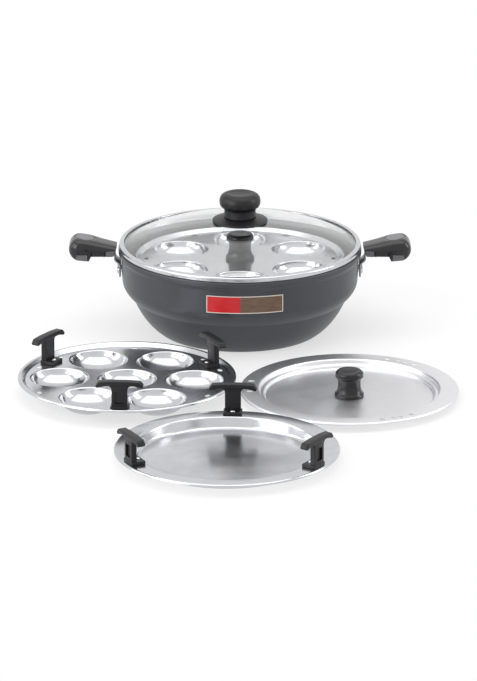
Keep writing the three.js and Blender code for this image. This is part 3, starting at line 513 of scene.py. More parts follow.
# %% Points in a fan
def start_tree(name, inputs):
    """A Geometry Nodes tree with named inputs, and the sockets inside it."""
    tree = bpy.data.node_groups.new(name, "GeometryNodeTree")
    for title, kind in inputs.items():
        tree.interface.new_socket(title, in_out="INPUT", socket_type=f"NodeSocket{kind}")
    tree.interface.new_socket("Geometry", in_out="OUTPUT", socket_type="NodeSocketGeometry")
    return tree, add_node(tree, "NodeGroupInput").node.outputs


def spread(tree, number, count, pitch):
    """How far a numbered copy stands from the middle of its row."""
    last = add_node(tree, MATH, (count, 1), operation="SUBTRACT")
    middle = add_node(tree, MATH, (last, 0.5), operation="MULTIPLY")
    off = add_node(tree, MATH, (number, middle), operation="SUBTRACT")
    return add_node(tree, MATH, (off, pitch), operation="MULTIPLY")


def fan_of_points(tree, inputs):
    """Points round an axis, in groups that fan out by a pitch along the arc, and the turn of each."""
    index, per_group, radius = add_node(tree, "GeometryNodeInputIndex"), inputs["Per group"], inputs["Ring radius"]
    share = add_node(tree, MATH, (index, per_group), operation="DIVIDE")
    group = add_node(tree, MATH, (share,), operation="FLOOR")
    number = add_node(tree, MATH, (index, per_group), operation="MODULO")
    aside = spread(tree, number, per_group, inputs["Pitch"])
    fan = add_node(tree, MATH, (aside, radius), operation="DIVIDE")
    step = add_node(tree, MATH, (2 * math.pi, inputs["Groups"]), operation="DIVIDE")
    turn = add_node(tree, MATH, (group, step), operation="MULTIPLY")
    for more in (inputs["First angle"], fan):
        turn = add_node(tree, MATH, (turn, more), operation="ADD")
    out = add_node(tree, XYZ, {"X": radius, "Z": inputs["Height"]})
    swung = add_node(tree, "ShaderNodeVectorRotate", {"Vector": out, "Angle": turn}, rotation_type="Z_AXIS")
    place = add_node(tree, VECTOR, (swung, inputs["Middle"]), operation="ADD")
    count = add_node(tree, MATH, (inputs["Groups"], per_group), operation="MULTIPLY")
    points = add_node(tree, "GeometryNodePoints", {"Count": count, "Position": place})
    return points, add_node(tree, XYZ, {"Z": turn})


FAN_INPUTS = {"Groups": "Int", "Per group": "Int", "Pitch": "Float", "Ring radius": "Float", "First angle": "Float",
              "Height": "Float", "Middle": "Vector"}
print("a fan has the inputs", ", ".join(FAN_INPUTS))

# %% Copying trees
def copied(tree, points, piece, **turn):
    """Copies of a piece on points, made into one mesh."""
    copies = add_node(tree, "GeometryNodeInstanceOnPoints", {"Points": points, "Instance": piece, **turn})
    return add_node(tree, "GeometryNodeRealizeInstances", {"Geometry": copies})


def close_tree(tree, geometry, material):
    finished = add_node(tree, "GeometryNodeSetMaterial", {"Geometry": geometry, "Material": material})
    add_node(tree, "NodeGroupOutput", (finished,))
    return tree


def ring_tree():
    tree, inputs = start_tree("copies in a ring", {**FAN_INPUTS, "Piece": "Object", "Finish": "Material"})
    points, turn = fan_of_points(tree, inputs)
    piece = add_node(tree, "GeometryNodeObjectInfo", {"Object": inputs["Piece"]}, "Geometry")
    return close_tree(tree, copied(tree, points, piece, Rotation=turn), inputs["Finish"])


def row_tree():
    tree, inputs = start_tree("copies in a row", {"Count": "Int", "Spacing": "Float", "Piece": "Object",
                                                  "Finish": "Material"})
    index = add_node(tree, "GeometryNodeInputIndex")
    place = add_node(tree, XYZ, {"Y": spread(tree, index, inputs["Count"], inputs["Spacing"])})
    points = add_node(tree, "GeometryNodePoints", {"Count": inputs["Count"], "Position": place})
    piece = add_node(tree, "GeometryNodeObjectInfo", {"Object": inputs["Piece"]}, "Geometry")
    return close_tree(tree, copied(tree, points, piece), inputs["Finish"])


RING_TREE, ROW_TREE = ring_tree(), row_tree()
print("trees", RING_TREE.name, "and", ROW_TREE.name)

# %% Growing helpers
def grow(tree, obj, **values):
    """Runs a tree on an object with the named input values, and keeps the result as a plain mesh."""
    modifier = obj.modifiers.new(tree.name, "NODES")
    modifier.node_group = tree
    for item in tree.interface.items_tree:
        key = item.name.replace(" ", "_")
        if item.in_out == "INPUT" and key in values:
            modifier[item.identifier] = values[key]
    return settle(obj)


def blank(name):
    """An object with an empty mesh, for a tree to fill."""
    obj = bpy.data.objects.new(name, bpy.data.meshes.new(name))
    bpy.context.collection.objects.link(obj)
    return obj


print("helpers", grow.__name__, "and", blank.__name__)

# %% [markdown]
# ## Punched slots
# The slotted plate lets steam through groups of slots, and the cup plates have small oblong holes. A press punches
# them, and the tree does the same: the hull of two round posts is the punch, the ring places it, and one Boolean takes
# every punch out of the sheet. Length, width and places are inputs, so one tree serves both kinds.

# %% Punching tree
POST_SIDES = 20


def punch_tree():
    tree, inputs = start_tree("punched slots", {"Sheet": "Geometry", **FAN_INPUTS, "Slot length": "Float",
                                                "Slot width": "Float", "Slot turn": "Float", "Depth": "Float",
                                                "Finish": "Material"})
    radius = add_node(tree, MATH, (inputs["Slot width"], 0.5), operation="MULTIPLY")
    post = add_node(tree, "GeometryNodeMeshCylinder",
                    {"Vertices": POST_SIDES, "Radius": radius, "Depth": inputs["Depth"]})
    spare = add_node(tree, MATH, (inputs["Slot length"], inputs["Slot width"]), operation="SUBTRACT")
    both = add_node(tree, "GeometryNodeJoinGeometry")
    for half in (-0.5, 0.5):
        aside = add_node(tree, XYZ, {"X": add_node(tree, MATH, (spare, half), operation="MULTIPLY")})
        moved = add_node(tree, "GeometryNodeTransform", {"Geometry": post, "Translation": aside})
        tree.links.new(moved, both.node.inputs[0])
    hull = add_node(tree, "GeometryNodeConvexHull", (both,))
    spin = add_node(tree, XYZ, {"Z": inputs["Slot turn"]})
    tool = add_node(tree, "GeometryNodeTransform", {"Geometry": hull, "Rotation": spin})
    points, turn = fan_of_points(tree, inputs)
    tools = copied(tree, points, tool, Rotation=turn)
    cut = add_node(tree, "GeometryNodeMeshBoolean", {"Mesh 1": inputs["Sheet"], "Mesh 2": tools}, "Mesh",
                   operation="DIFFERENCE", solver="MANIFOLD")
    return close_tree(tree, cut, inputs["Finish"])


PUNCH_TREE = punch_tree()
print("tree", PUNCH_TREE.name, "with", len(PUNCH_TREE.nodes), "nodes")

# %% [markdown]
# ## Handle brackets
# A strip of steel is bent so that it leaves the wall, steps round the lip and ends in a tongue inside the handle. One
# bent line and a width make it. The bevel takes the edge off, as tumbling does, and gives the strip its bright outline.

# %% Brackets
STRIP_T, STRIP_W = 2, 22


def prism(name, outline, start, end, place):
    """A solid with an outline of (a, b) points that runs from one depth to another. place gives (x, y, z)."""
    mesh = bmesh.new()
    ends = [[mesh.verts.new(place(a, b, depth)) for a, b in outline] for depth in (start, end)]
    for corners in ends:
        mesh.faces.new(corners)
    count = len(outline)
    for k in range(count):
        after = (k + 1) % count
        mesh.faces.new((ends[0][k], ends[0][after], ends[1][after], ends[1][k]))
    return to_object(name, mesh)


def bevel(obj, width, segments=3):
    modifier = obj.modifiers.new("Edge", "BEVEL")
    modifier.width, modifier.segments, modifier.limit_method = width * MM, segments, "ANGLE"
    modifier.angle_limit = math.radians(40)
    return settle(obj)


def across(a, b, depth):
    """A section of (out, up) points that is given a width along Y."""
    return (a, depth, b)


strip_corners = [(133.5, -32, 0), (133.5, -17, 3), (139.2, -12, 3.2), (139.2, -3.5, 4.3), (164.2, -3.5, 0)]
strip_line = rounded(raised(strip_corners, PAN_H))
strip_outline = strip_line + left_of(strip_line, -STRIP_T * MM)[::-1]
HALF_TURN = Matrix.Rotation(math.pi, 4, "Z")
for side in ("right", "left"):
    strip = bevel(prism(f"{side}_bracket_strip", strip_outline, -STRIP_W / 2 * MM, STRIP_W / 2 * MM, across), 0.45)
    if side == "left":
        strip.data.transform(HALF_TURN)
    dress(strip, STRIP, "kadai", "strip_steel", f"{side}_handle_bracket")

# %% [markdown]
# ## Rivets and screws of the handles
# Two rivets hold each bracket: a low head inside the pan, a shank, and a domed head outside. One rivet is turned and
# tipped on its side. The row tree makes the pair, and the ring tree sets the pair on both sides of the pan. The screw
# that holds a handle on its tongue is repeated by the ring tree alone.

# %% Rivets and screws
RIVET_Z, RIVET_SPACING = PAN_H - 25, 11.4
rivet_outline = rounded([(0, 127.7, 0), (2.6, 127.9, 3), (4.2, 129.4, 0.5), (2.4, 129.4, 0), (2.4, 135.4, 0),
                         (4.25, 135.4, 0.3), (4.1, 136.6, 1.2), (2.2, 137.8, 2.5), (0, 137.8, 0)], steps=5)
one_rivet = turned("one_rivet", rivet_outline, RIVET_SIDES)
one_rivet.data.transform(Matrix.Translation((0, 0, RIVET_Z * MM)) @ Matrix.Rotation(math.pi / 2, 4, "Y"))
rivet_pair = grow(ROW_TREE, blank("rivet_pair"), Count=2, Spacing=RIVET_SPACING * MM,
                  Piece=one_rivet, Finish=PAN_STEEL)


def both_sides(name, piece, finish):
    """A piece on the right of the pan, and its copy on the left."""
    return grow(RING_TREE, blank(name), Groups=2, Per_group=1, Pitch=0.0, Ring_radius=AXIS, First_angle=0.0,
                Height=0.0, Middle=(0.0, 0.0, 0.0), Piece=piece, Finish=finish)


def discard(*objects):
    for obj in objects:
        bpy.data.objects.remove(obj)


rivets = both_sides("bracket_rivets", rivet_pair, PAN_STEEL)
dress(rivets, PAN_STEEL, "kadai", "polished_steel",
      *[f"{side}_bracket_rivet_{place}" for side in ("right", "left") for place in "ab"])

SCREW_AT, HANDLE_LEVEL = 154.5, PAN_H - 4
screw_corners = [(0, -2.7, 0), (1.5, -2.7, 0), (1.7, -3.6, 0.2), (3.8, -3.6, 0.7), (3.8, -1.8, 0.2), (2, -1.8, 0),
                 (2, 7.2, 0.4), (0, 7.2, 0)]
screw_outline = rounded(raised(screw_corners, HANDLE_LEVEL), steps=4)
one_screw = turned("one_screw", screw_outline, RIVET_SIDES, (SCREW_AT * MM, 0))
screws = both_sides("handle_screws", one_screw, STRIP)
dress(screws, STRIP, "kadai", "strip_steel", "right_handle_screw", "left_handle_screw")
discard(one_rivet, rivet_pair, one_screw)

# %% [markdown]
# ## The handles
# Each handle is a moulded stub: narrow at the pan, higher and wider outwards, with a rounded end that hooks down for
# the fingers. A skin over a row of rounded sections makes the body. Boxes cut the pockets that keep the walls of a
# moulding even. A fine voxel remesh and some smoothing then round every edge at once, as on a moulded piece.

# %% Handle's sections
HANDLE_IN, HANDLE_LENGTH, HANDLE_NOSE, HOOK_START = 140.5, 51, 11, 27
HANDLE_BODY = HANDLE_LENGTH - HANDLE_NOSE
HALF_WIDTH, MIDDLE_Z, TOP_Z = (14.5, 20), (0, 4.25), (5.5, 17)  # at the pan and at the end
HOOK_Z, NECK_Z, END_SLANT, SLANT_LENGTH = (-10, -7.5), -4.5, 0.4, 14
ROUND_TOP, ROUND_BOTTOM, ROUND_SIDE = 0.7, 0.4, 0.5  # exponents: 1 is round, less is squarer
BODY_STATIONS, NOSE_STATIONS = 44, 14


def ease(value, low, high):
    t = min(max((value - low) / (high - low), 0), 1)
    return t * t * (3 - 2 * t)


def lerp(a, b, t):
    return a + (b - a) * t


def power(value, exponent):
    return math.copysign(abs(value) ** exponent, value)


def handle_section(u, corners=72):
    """The outline of the handle at a distance from its inner end, in metres."""
    rise = ease(u, -HANDLE_BODY / 3, HANDLE_BODY)
    nose = math.sqrt(max(1 - (max(u - HANDLE_BODY, 0) / HANDLE_NOSE) ** 2, 0.02))
    middle = lerp(*MIDDLE_Z, rise)
    half = lerp(*HALF_WIDTH, rise) * (0.45 + 0.55 * nose)
    top = middle + (lerp(*TOP_Z, rise) - middle) * nose
    hook = lerp(*HOOK_Z, (u - HOOK_START) / (HANDLE_LENGTH - HOOK_START))
    under = lerp(NECK_Z, hook, ease(u, HOOK_START - 0.8, HOOK_START + 1.6))
    bottom = middle + (under - middle) * nose
    slant = END_SLANT * max(1 - u / SLANT_LENGTH, 0)
    points = []
    for k in range(corners):
        c, s = math.cos(2 * math.pi * k / corners), math.sin(2 * math.pi * k / corners)
        above, below = (top - middle) * power(s, ROUND_TOP), (middle - bottom) * power(s, ROUND_BOTTOM)
        z = middle + (above if s > 0 else below)
        points.append(Vector((HANDLE_IN + u - slant * z, half * power(c, ROUND_SIDE), HANDLE_LEVEL + z)) * MM)
    return points


def handle_skin():
    mesh = bmesh.new()
    stations = [HANDLE_BODY * k / BODY_STATIONS for k in range(BODY_STATIONS + 1)]
    stations += [HANDLE_BODY + HANDLE_NOSE * math.sin(math.pi / 2 * k / NOSE_STATIONS)
                 for k in range(1, NOSE_STATIONS + 1)]
    rings = [[mesh.verts.new(p) for p in handle_section(u)] for u in stations]
    for low, high in zip(rings, rings[1:]):
        join_rings(mesh, low, high, len(low))
    mesh.faces.new(rings[0])
    mesh.faces.new(rings[-1])
    return to_object("handle_skin", mesh)


print("a handle section has", len(handle_section(0)), "points")

# %% Cutting helpers
def box_between(name, low, high):
    outline = [Vector(p) * MM for p in ((low[0], low[2]), (high[0], low[2]), (high[0], high[2]), (low[0], high[2]))]
    return prism(name, outline, low[1] * MM, high[1] * MM, across)


def joined(name, objects):
    """One object with the meshes of several, which are removed."""
    mesh = bmesh.new()
    for obj in objects:
        mesh.from_mesh(obj.data)
    discard(*objects)
    return to_object(name, mesh)


def combine(obj, other, operation):
    """Adds or cuts another solid, which is then removed."""
    modifier = obj.modifiers.new("Combine", "BOOLEAN")
    modifier.operation, modifier.object, modifier.solver = operation, other, "MANIFOLD"
    settle(obj)
    discard(other)
    return obj


print("helpers", box_between.__name__, joined.__name__, combine.__name__)

# %% Handle's cuts
POCKET_Y, POCKET_TOP, PANEL_Y, BEYOND_Y, BELOW = 12, 3.5, 18.6, 40, 28
POCKETS = (9.5, 10.5), (12.5, HOOK_START - 1)  # from the handle's inner end, with the rib between
PANEL_START, PANEL_END, PANEL_DROP = HANDLE_IN + HOOK_START + 3.5, HANDLE_IN + HANDLE_LENGTH - 8, 6.8
WAY_IN_R, WAY_IN_TOP, WAY_IN_SIDES = 4.1, -0.8, 48
VOXEL, SMOOTH_ROUNDS = 0.42, 5


def handle_cuts():
    """The side pockets with the rib between them, the panel in the hook, and the way in for the screw."""
    cuts = []
    for side in (1, -1):
        low_y, high_y = sorted((side * POCKET_Y, side * BEYOND_Y))
        for start, end in POCKETS:
            cuts.append(box_between("pocket", (HANDLE_IN + start, low_y, HANDLE_LEVEL - BELOW),
                                    (HANDLE_IN + end, high_y, HANDLE_LEVEL + POCKET_TOP)))
        low_y, high_y = sorted((side * PANEL_Y, side * BEYOND_Y))
        cuts.append(box_between("panel", (PANEL_START, low_y, HANDLE_LEVEL - PANEL_DROP),
                                (PANEL_END, high_y, HANDLE_LEVEL)))
    way_in = [(0, -BELOW, 0), (WAY_IN_R, -BELOW, 0), (WAY_IN_R, WAY_IN_TOP, 0), (0, WAY_IN_TOP, 0)]
    cuts.append(turned("way_in", rounded(raised(way_in, HANDLE_LEVEL)), WAY_IN_SIDES, (SCREW_AT * MM, 0)))
    return joined("handle_cuts", cuts)


def soften(obj, voxel, rounds):
    remesh = obj.modifiers.new("Skin", "REMESH")
    remesh.mode, remesh.voxel_size = "VOXEL", voxel * MM
    smooth = obj.modifiers.new("Soft edges", "SMOOTH")
    smooth.factor, smooth.iterations = 0.5, rounds
    return settle(obj)


handle = soften(combine(handle_skin(), handle_cuts(), "DIFFERENCE"), VOXEL, SMOOTH_ROUNDS)
print(len(handle.data.polygons), "faces in the softened handle")

# %% [markdown]
# ## The oval and the paler panels
# On top of each handle is a bare oval, set off by a fine groove. The groove is pressed into the softened mesh: every
# corner near the oval's outline moves in along its normal. That keeps it on the curved top, which a cut would not do
# so simply. The oval, a panel in the hook and the block beside the pan are painted paler: partly a blasted finish from
# the mould, partly painted highlight.

# %% Oval
OVAL_AT, OVAL_HALF_LENGTH, OVAL_HALF_WIDTH, OVAL_GROOVE = 173.5, 11, 12.5, 0.55
GROOVE_REACH, GROOVE_SPREAD = 0.3, 0.085  # shares of the oval's half size
for vertex in handle.data.vertices:
    x, y = (vertex.co.x / MM - OVAL_AT) / OVAL_HALF_LENGTH, vertex.co.y / MM / OVAL_HALF_WIDTH
    away = math.hypot(x, y) - 1
    if vertex.normal.z > 0.3 and abs(away) < GROOVE_REACH:
        vertex.co -= vertex.normal * OVAL_GROOVE * MM * math.exp(-(away / GROOVE_SPREAD) ** 2)
print("groove of", OVAL_GROOVE, "mm")

# %% Paler panels, partly painted highlight
# The side panels' paleness is partly a blasted finish and partly painted highlight.
SIDE_PALENESS = 0.65  # how much paler the side panels are, beside the oval's 1


def within(tree, *spans):
    """1 where each value lies in its span, otherwise 0."""
    far = 0.0
    for value, low, high in spans:
        share = add_node(tree, RANGE, (value, low, high, -1, 1), clamp=False)
        size = add_node(tree, MATH, (share,), operation="ABSOLUTE")
        far = add_node(tree, MATH, (size, far), operation="MAXIMUM")
    return add_node(tree, MATH, (far, 1), operation="LESS_THAN")


def blasted_and_highlit_panels(tree, place):
    """The paler oval, hook panel and block beside the pan on either handle: partly a blasted finish, partly painted
    highlight.
    """
    size = add_node(tree, VECTOR, (place,), operation="ABSOLUTE")
    out, wide, high = add_node(tree, PARTS, (size,)).node.outputs
    level = HANDLE_LEVEL * MM
    centred = add_node(tree, MAPPING, {"Vector": size, "Location": (OVAL_AT * MM, 0, level),
                                       "Scale": (OVAL_HALF_LENGTH * MM, OVAL_HALF_WIDTH * MM, 1)},
                       vector_type="TEXTURE")
    flat = add_node(tree, VECTOR, (centred, (1, 1, 0)), operation="MULTIPLY")
    away = add_node(tree, VECTOR, (flat,), "Value", operation="LENGTH")
    oval = add_node(tree, RANGE, (away, 0.98, 0.8, 0, 1), **SMOOTH)
    on_top = within(tree, (high, level + 8 * MM, level + 30 * MM))
    top = add_node(tree, MATH, (oval, on_top), operation="MULTIPLY")
    hook = within(tree, (out, PANEL_START * MM, PANEL_END * MM), (high, level - PANEL_DROP * MM, level),
                  (wide, 15 * MM, 30 * MM))
    block = within(tree, (out, (HANDLE_IN - 8) * MM, (HANDLE_IN + 9.2) * MM),
                   (high, level - 15 * MM, level + 3.3 * MM), (wide, 11.5 * MM, 30 * MM))
    sides = add_node(tree, MATH, (hook, block), operation="MAXIMUM")
    return add_node(tree, MATH, (sides, SIDE_PALENESS, top), operation="MULTIPLY_ADD")


# The handles' finish carries the paler panels, which are partly painted highlight.
HANDLE_FINISH = phenolic("phenolic moulding with blasted panels", (0.12, 0.24), 1.5, blasted_and_highlit_panels)
print("made", HANDLE_FINISH.name)

# %% The two handles
for side in ("right", "left"):
    moulding = bpy.data.objects.new(f"{side}_handle_moulding", handle.data.copy())
    bpy.context.collection.objects.link(moulding)
    if side == "left":
        moulding.data.transform(HALF_TURN)
    dress(moulding, HANDLE_FINISH, "kadai", "bakelite", f"{side}_handle", sharp=60)
discard(handle)

# %% [markdown]
# ## The glass lid
# Tempered glass is sagged over a mould, so the lid is a slice of a sphere with a flat edge and a hole for the knob's
# screw. The underside is drawn as an arc, and the upper face lies a glass thickness outside it. The steel ring is one
# strip, folded over the glass's edge, in under it, and down inside the mouth of the pan.

# %% Glass and ring
DOME_EDGE_R, DOME_RISE, GLASS_T, RING_T = 127.6, 27, 3.5, 0.8
GLASS_Z = PAN_H + 1.4
DOME_R = (DOME_EDGE_R ** 2 + DOME_RISE ** 2) / (2 * DOME_RISE)
DOME_CENTRE = GLASS_Z + DOME_RISE - DOME_R


def dome_height(radius, outside=0):
    return DOME_CENTRE + math.sqrt((DOME_R + outside) ** 2 - radius ** 2)


dome_arc = [(r, dome_height(r), 0) for r in (4.5, 10, 20, 30, 40, 50, 60, 70, 80, 90, 100, 110, 118)]
glass_line = rounded([*dome_arc, (DOME_EDGE_R, GLASS_Z, 14), (134.1, GLASS_Z, 0)], steps=8)
dome = turned("lid_dome", sheet_outline(glass_line, GLASS_T * MM), RIM_SIDES)
dress(dome, GLASS, "lid", "glass", "lid_glass")

ring_corners = [(130, 6, 0), (135.2, 6, 1.7), (135.2, 0.2, 1.2), (131.8, 0.2, 1), (131.8, -4, 0)]
ring_line = rounded(raised(ring_corners, PAN_H))
ring = turned("lid_ring", sheet_outline(ring_line, -RING_T * MM), RIM_SIDES)
dress(ring, PAN_STEEL, "lid", "polished_steel", "lid_rim_ring")

# %% [markdown]
# ## The lid's knob
# A wide thin disc keeps the fingers off the hot glass, and a mushroom knob stands on it. Both are turned from outlines
# with generous curves, since the highlight on a black knob is all that tells its shape. Below the glass a screw holds
# everything, with a washer and a soft ring. The brass insert is inside the knob and keeps its CAD shape.

# %% Knob, disc and fixing
FLANGE_R = 30.8
FLANGE_TOP = dome_height(0, GLASS_T) + 3.6
KNOB_FOOT = FLANGE_TOP + 0.1
under_flange = [(r, dome_height(r, GLASS_T + 0.1), 0) for r in (2.8, 10, 20)]
edge_z = dome_height(FLANGE_R, GLASS_T + 0.1)
flange_outline = rounded([*under_flange, (FLANGE_R, edge_z, 0.5), (FLANGE_R, edge_z + 2, 0.8),
                          (20, FLANGE_TOP - 0.1, 20), (16, FLANGE_TOP, 0), (2.8, FLANGE_TOP, 0)], closed=True)
dress(turned("lid_grip_flange", flange_outline, KNOB_SIDES), SATIN, "lid", "bakelite", "lid_knob_flange")

knob_corners = [(0, 14.3, 0), (4.9, 14.3, 0), (4.9, 0, 0), (18, 0, 0.8), (17.5, 5, 30), (17.8, 9.2, 3)]
knob_corners += [*curve((19, 11.2), (23, 12.6), (23, 18.2), 12), *curve((23, 18.2), (23, 26), (15.5, 27.3), 14)[1:]]
knob_corners += [(13.4, 27.4, 2), *curve((12, 27.1), (7, 26.4), (0, 26.4), 6)]
knob_outline = rounded(raised(knob_corners, KNOB_FOOT))
dress(turned("lid_grip", knob_outline, KNOB_SIDES), SATIN, "lid", "bakelite", "lid_knob")

gasket_top = dome_height(10) - 0.1
fixing = {
    "lid_soft_ring": ([(2.8, -1.5, 0), (10, -1.5, 0.5), (10, 0, 0.5), (2.8, 0, 0)], SILICONE, "silicone",
                      "lid_knob_gasket"),
    "lid_washer": ([(2.8, -2.9, 0), (9, -2.9, 0.4), (9, -1.7, 0.3), (2.8, -1.7, 0)], PAN_STEEL, "polished_steel",
                   "lid_knob_washer"),
    "lid_screw": ([(0, -5.4, 0), (1.6, -5.4, 0), (1.9, -5.9, 0.2), (3.6, -5.9, 1.5), (5.5, -3.2, 0.3), (2.5, -3.2, 0),
                   (2.5, 18, 0.4), (0, 18, 0)], PAN_STEEL, "polished_steel", "lid_knob_screw"),
}
for name, (corners, finish, slot_name, node) in fixing.items():
    outline = rounded(raised(corners, gasket_top), closed=corners[0][0] > 0, steps=4)
    dress(turned(name, outline, FIXING_SIDES), finish, "lid", slot_name, node)

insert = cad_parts["lid_knob_insert"]
insert.data.materials.clear()
insert.data.materials.append(BRASS)

# %% [markdown]
# ## Lugs
# The plates stack on T-shaped lugs: a foot that is riveted to the sheet, a post with a pocket in its outer face, and a
# bar with drooping ends that carries the plate above. Each part is a bevelled prism, and three Booleans make one
# moulding of them. The lug is drawn once, at the origin, and the ring tree stands three of them on a plate.

# %% Lug and its rivet
LUG_TOP, LUG_UNDER, LUG_DROOP, BAR_HALF, STEM_HALF = 32.8, 27.6, 2.4, 26, 8.5


def outwards(a, b, depth):
    """A section of (sideways, up) points that is given a depth along X."""
    return (depth, a, b)


def mirrored(corners):
    """Corners on the right of a middle line, and their mirror images on the left."""
    return corners + [(-y, z, radius) for y, z, radius in corners[::-1]]


def one_lug():
    bar = rounded(mirrored([(STEM_HALF + 7, LUG_UNDER, 9), (BAR_HALF - 1.8, LUG_UNDER - LUG_DROOP, 1),
                            (BAR_HALF, LUG_UNDER - 0.2, 1.3), (BAR_HALF - 3.6, LUG_TOP - 0.9, 3.4),
                            (9, LUG_TOP, 60)]), closed=True)
    post = rounded(mirrored([(STEM_HALF, 1.5, 0), (STEM_HALF, LUG_UNDER, 4.8), (STEM_HALF + 6, LUG_UNDER, 0),
                             (STEM_HALF + 6, LUG_UNDER + 3, 0)]), closed=True)
    foot = rounded(mirrored([(10, 0.05, 0), (10, 3.8, 0)]), closed=True)
    lug = bevel(prism("lug", post, -3 * MM, 3 * MM, outwards), 0.5)
    combine(lug, bevel(prism("bar", bar, -5 * MM, 4 * MM, outwards), 1.3, 4), "UNION")
    combine(lug, bevel(prism("foot", foot, -12.5 * MM, 3.5 * MM, outwards), 0.7), "UNION")
    pocket = rounded([(-5.2, 7.3, 1.5), (5.2, 7.3, 1.5), (5.2, 21, 1.5), (-5.2, 21, 1.5)], closed=True)
    return combine(lug, prism("pocket", pocket, 0.9 * MM, 8 * MM, outwards), "DIFFERENCE")


LUG = one_lug()
lug_rivet_outline = rounded([(0, -2.2, 0), (1.8, -2.1, 1.5), (3.1, -0.85, 0.3), (1.7, -0.85, 0), (1.7, 3.7, 0),
                             (3.1, 3.75, 0.3), (1.9, 5.1, 1.5), (0, 5.2, 0)], steps=4)
LUG_RIVET = turned("lug_rivet", lug_rivet_outline, RIVET_SIDES)
print(len(LUG.data.polygons), "faces in a lug")

# %% [markdown]
# ## What stands on a plate
# Three plates have lugs and two have a spool knob in the middle. The lugs and rivets of one plate become one mesh each,
# because they ride on the same body. The spool is turned from one outline with a waist for the fingers.

# %% Lugs and spools for a plate
TABLE_TURN = -3.2  # degrees, of the three plates that stand in front
LUG_RIVET_IN = 7.75


def stand_lugs(prefix, body, node_prefix, middle, lug_r, first_angle, height, steel):
    """Three lugs and their rivets on a plate. Distances are in millimetres and angles in degrees."""
    for piece, inset, finish, slot_name, part in ((LUG, 0, SATIN, "bakelite", "lug"),
                                                  (LUG_RIVET, LUG_RIVET_IN, steel, "polished_steel", "lug_rivet")):
        ring = grow(RING_TREE, blank(f"{prefix}_{part}s"), Groups=3, Per_group=1, Pitch=0.0,
                    Ring_radius=(lug_r - inset) * MM, First_angle=math.radians(first_angle), Height=height * MM,
                    Middle=(middle[0], middle[1], 0.0), Piece=piece, Finish=finish)
        dress(ring, finish, body, slot_name, *[f"{node_prefix}_{part}_{k}" for k in (1, 2, 3)])


spool_hole = [(0, 12.3, 0), (2.3, 12.3, 0), (2.3, 0.1, 0)]
spool_corners = [(16, 0.1, 0.8), (16, 3.2, 1.4), *curve((15, 4.2), (12.2, 7.4), (12.2, 14.5), 10),
                 *curve((12.2, 14.5), (12.2, 19.4), (14.2, 21.2), 10)[1:], (15.2, 22.2, 1), (15.2, 26.6, 3),
                 (12.6, 29.3, 3), (9, 29.2, 8), (0, 28.7, 0)]
spool_screw = [(0, -3.2, 0), (1.2, -3.2, 0), (1.5, -3.8, 0.2), (2.6, -3.8, 0.8), (4, -2.1, 0.2), (2, -2.1, 0),
               (2, 12, 0.3), (0, 12, 0)]
spool_washer = [(2.3, -1.9, 0), (7, -1.9, 0.3), (7, -0.9, 0.3), (2.3, -0.9, 0)]
COVER_R = 12.9


def stand_spool(prefix, body, node_prefix, middle, sheet_top, steel, skirt=0):
    """A spool knob with its screw and washer on the middle of a plate. A skirt reaches down round a raised middle."""
    cover = [(COVER_R, 0.1, 0), (COVER_R, 0.1 - skirt, 0)] if skirt else []
    spool = spool_hole + cover + raised(spool_corners, -skirt)
    parts = (("spool", spool, PHENOLIC, "bakelite", "knob"),
             ("spool_screw", spool_screw, steel, "polished_steel", "knob_screw"),
             ("spool_washer", spool_washer, steel, "polished_steel", "knob_washer"))
    for part, corners, finish, slot_name, node in parts:
        outline = rounded(raised(corners, sheet_top), closed=corners[0][0] > 0, steps=5)
        piece = turned(f"{prefix}_{part}", outline, SPOOL_SIDES, middle)
        dress(piece, finish, body, slot_name, f"{node_prefix}_{node}")


print("spool outline of", len(rounded(spool_corners)), "points")

# %% [markdown]
# ## Pan plates
# A pan plate is a shallow tray with a flat flange whose edge is turned down. One stands on the ledge inside the pan and
# carries the plate above it. Its twin stands in front. One outline serves both, and every bend in it has the radius
# that the press leaves.

# %% Pan plates
PLATE_T = 0.8
IDLI_AT, DHOKLA_AT, STEAMER_AT = (middle_of(node) for node in ("idli_plate", "dhokla_plate", "steamer_plate"))
LOWER_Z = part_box("lower_dhokla_plate")[0].z / MM
PAN_LUG_R = 111.75
PAN_PLATE_TOP = 12.8


def pan_plate(name, middle, base):
    corners = [(0, 0, 0), (95.65, 0, 4.5), (98.65, 12, 2.2), (117.85, 12, 1.5), (117.85, 10.3, 0)]
    return turned(name, sheet_outline(rounded(raised(corners, base)), PLATE_T * MM), SHEET_SIDES, middle)


dress(pan_plate("lower_pan_sheet", (0, 0), LOWER_Z), PAN_STEEL, "lower_plate", "polished_steel", "lower_dhokla_plate")
stand_lugs("lower", "lower_plate", "lower", (0, 0), PAN_LUG_R, 0, LOWER_Z + PAN_PLATE_TOP, PAN_STEEL)
dress(pan_plate("pan_sheet", DHOKLA_AT, 0), DHOKLA_STEEL, "pan_plate", "polished_steel", "dhokla_plate")
stand_lugs("pan", "pan_plate", "dhokla", DHOKLA_AT, PAN_LUG_R, 90 + TABLE_TURN, PAN_PLATE_TOP, DHOKLA_STEEL)

# %% [markdown]
# ## The slotted plate
# This plate has a wide flange with three groups of slots and a stepped well. Its middle is raised under the knob, which
# makes room for the screw. It is turned first and then punched twice: each group has a short pair inside a long pair.

# %% Slotted plate
SLOT_RING, SLOT_LEVEL = 108.65, 9.4  # the level is the middle of the flange's sheet
SPOOL_SEAT, SPOOL_SKIRT = 5.8, 5
PUNCH_DEPTH = 6
slotted_corners = [(2.3, 5, 0), (9.5, 5, 1.2), (11.5, 0, 1), (91.65, 0, 2.5), (93.15, 4, 1.2), (97.15, 4, 1.6),
                   (98.65, 9, 1.6), (117.85, 9, 1.5), (117.85, 7.3, 0)]
slotted = turned("slotted_sheet", sheet_outline(rounded(slotted_corners), PLATE_T * MM), SHEET_SIDES, STEAMER_AT)


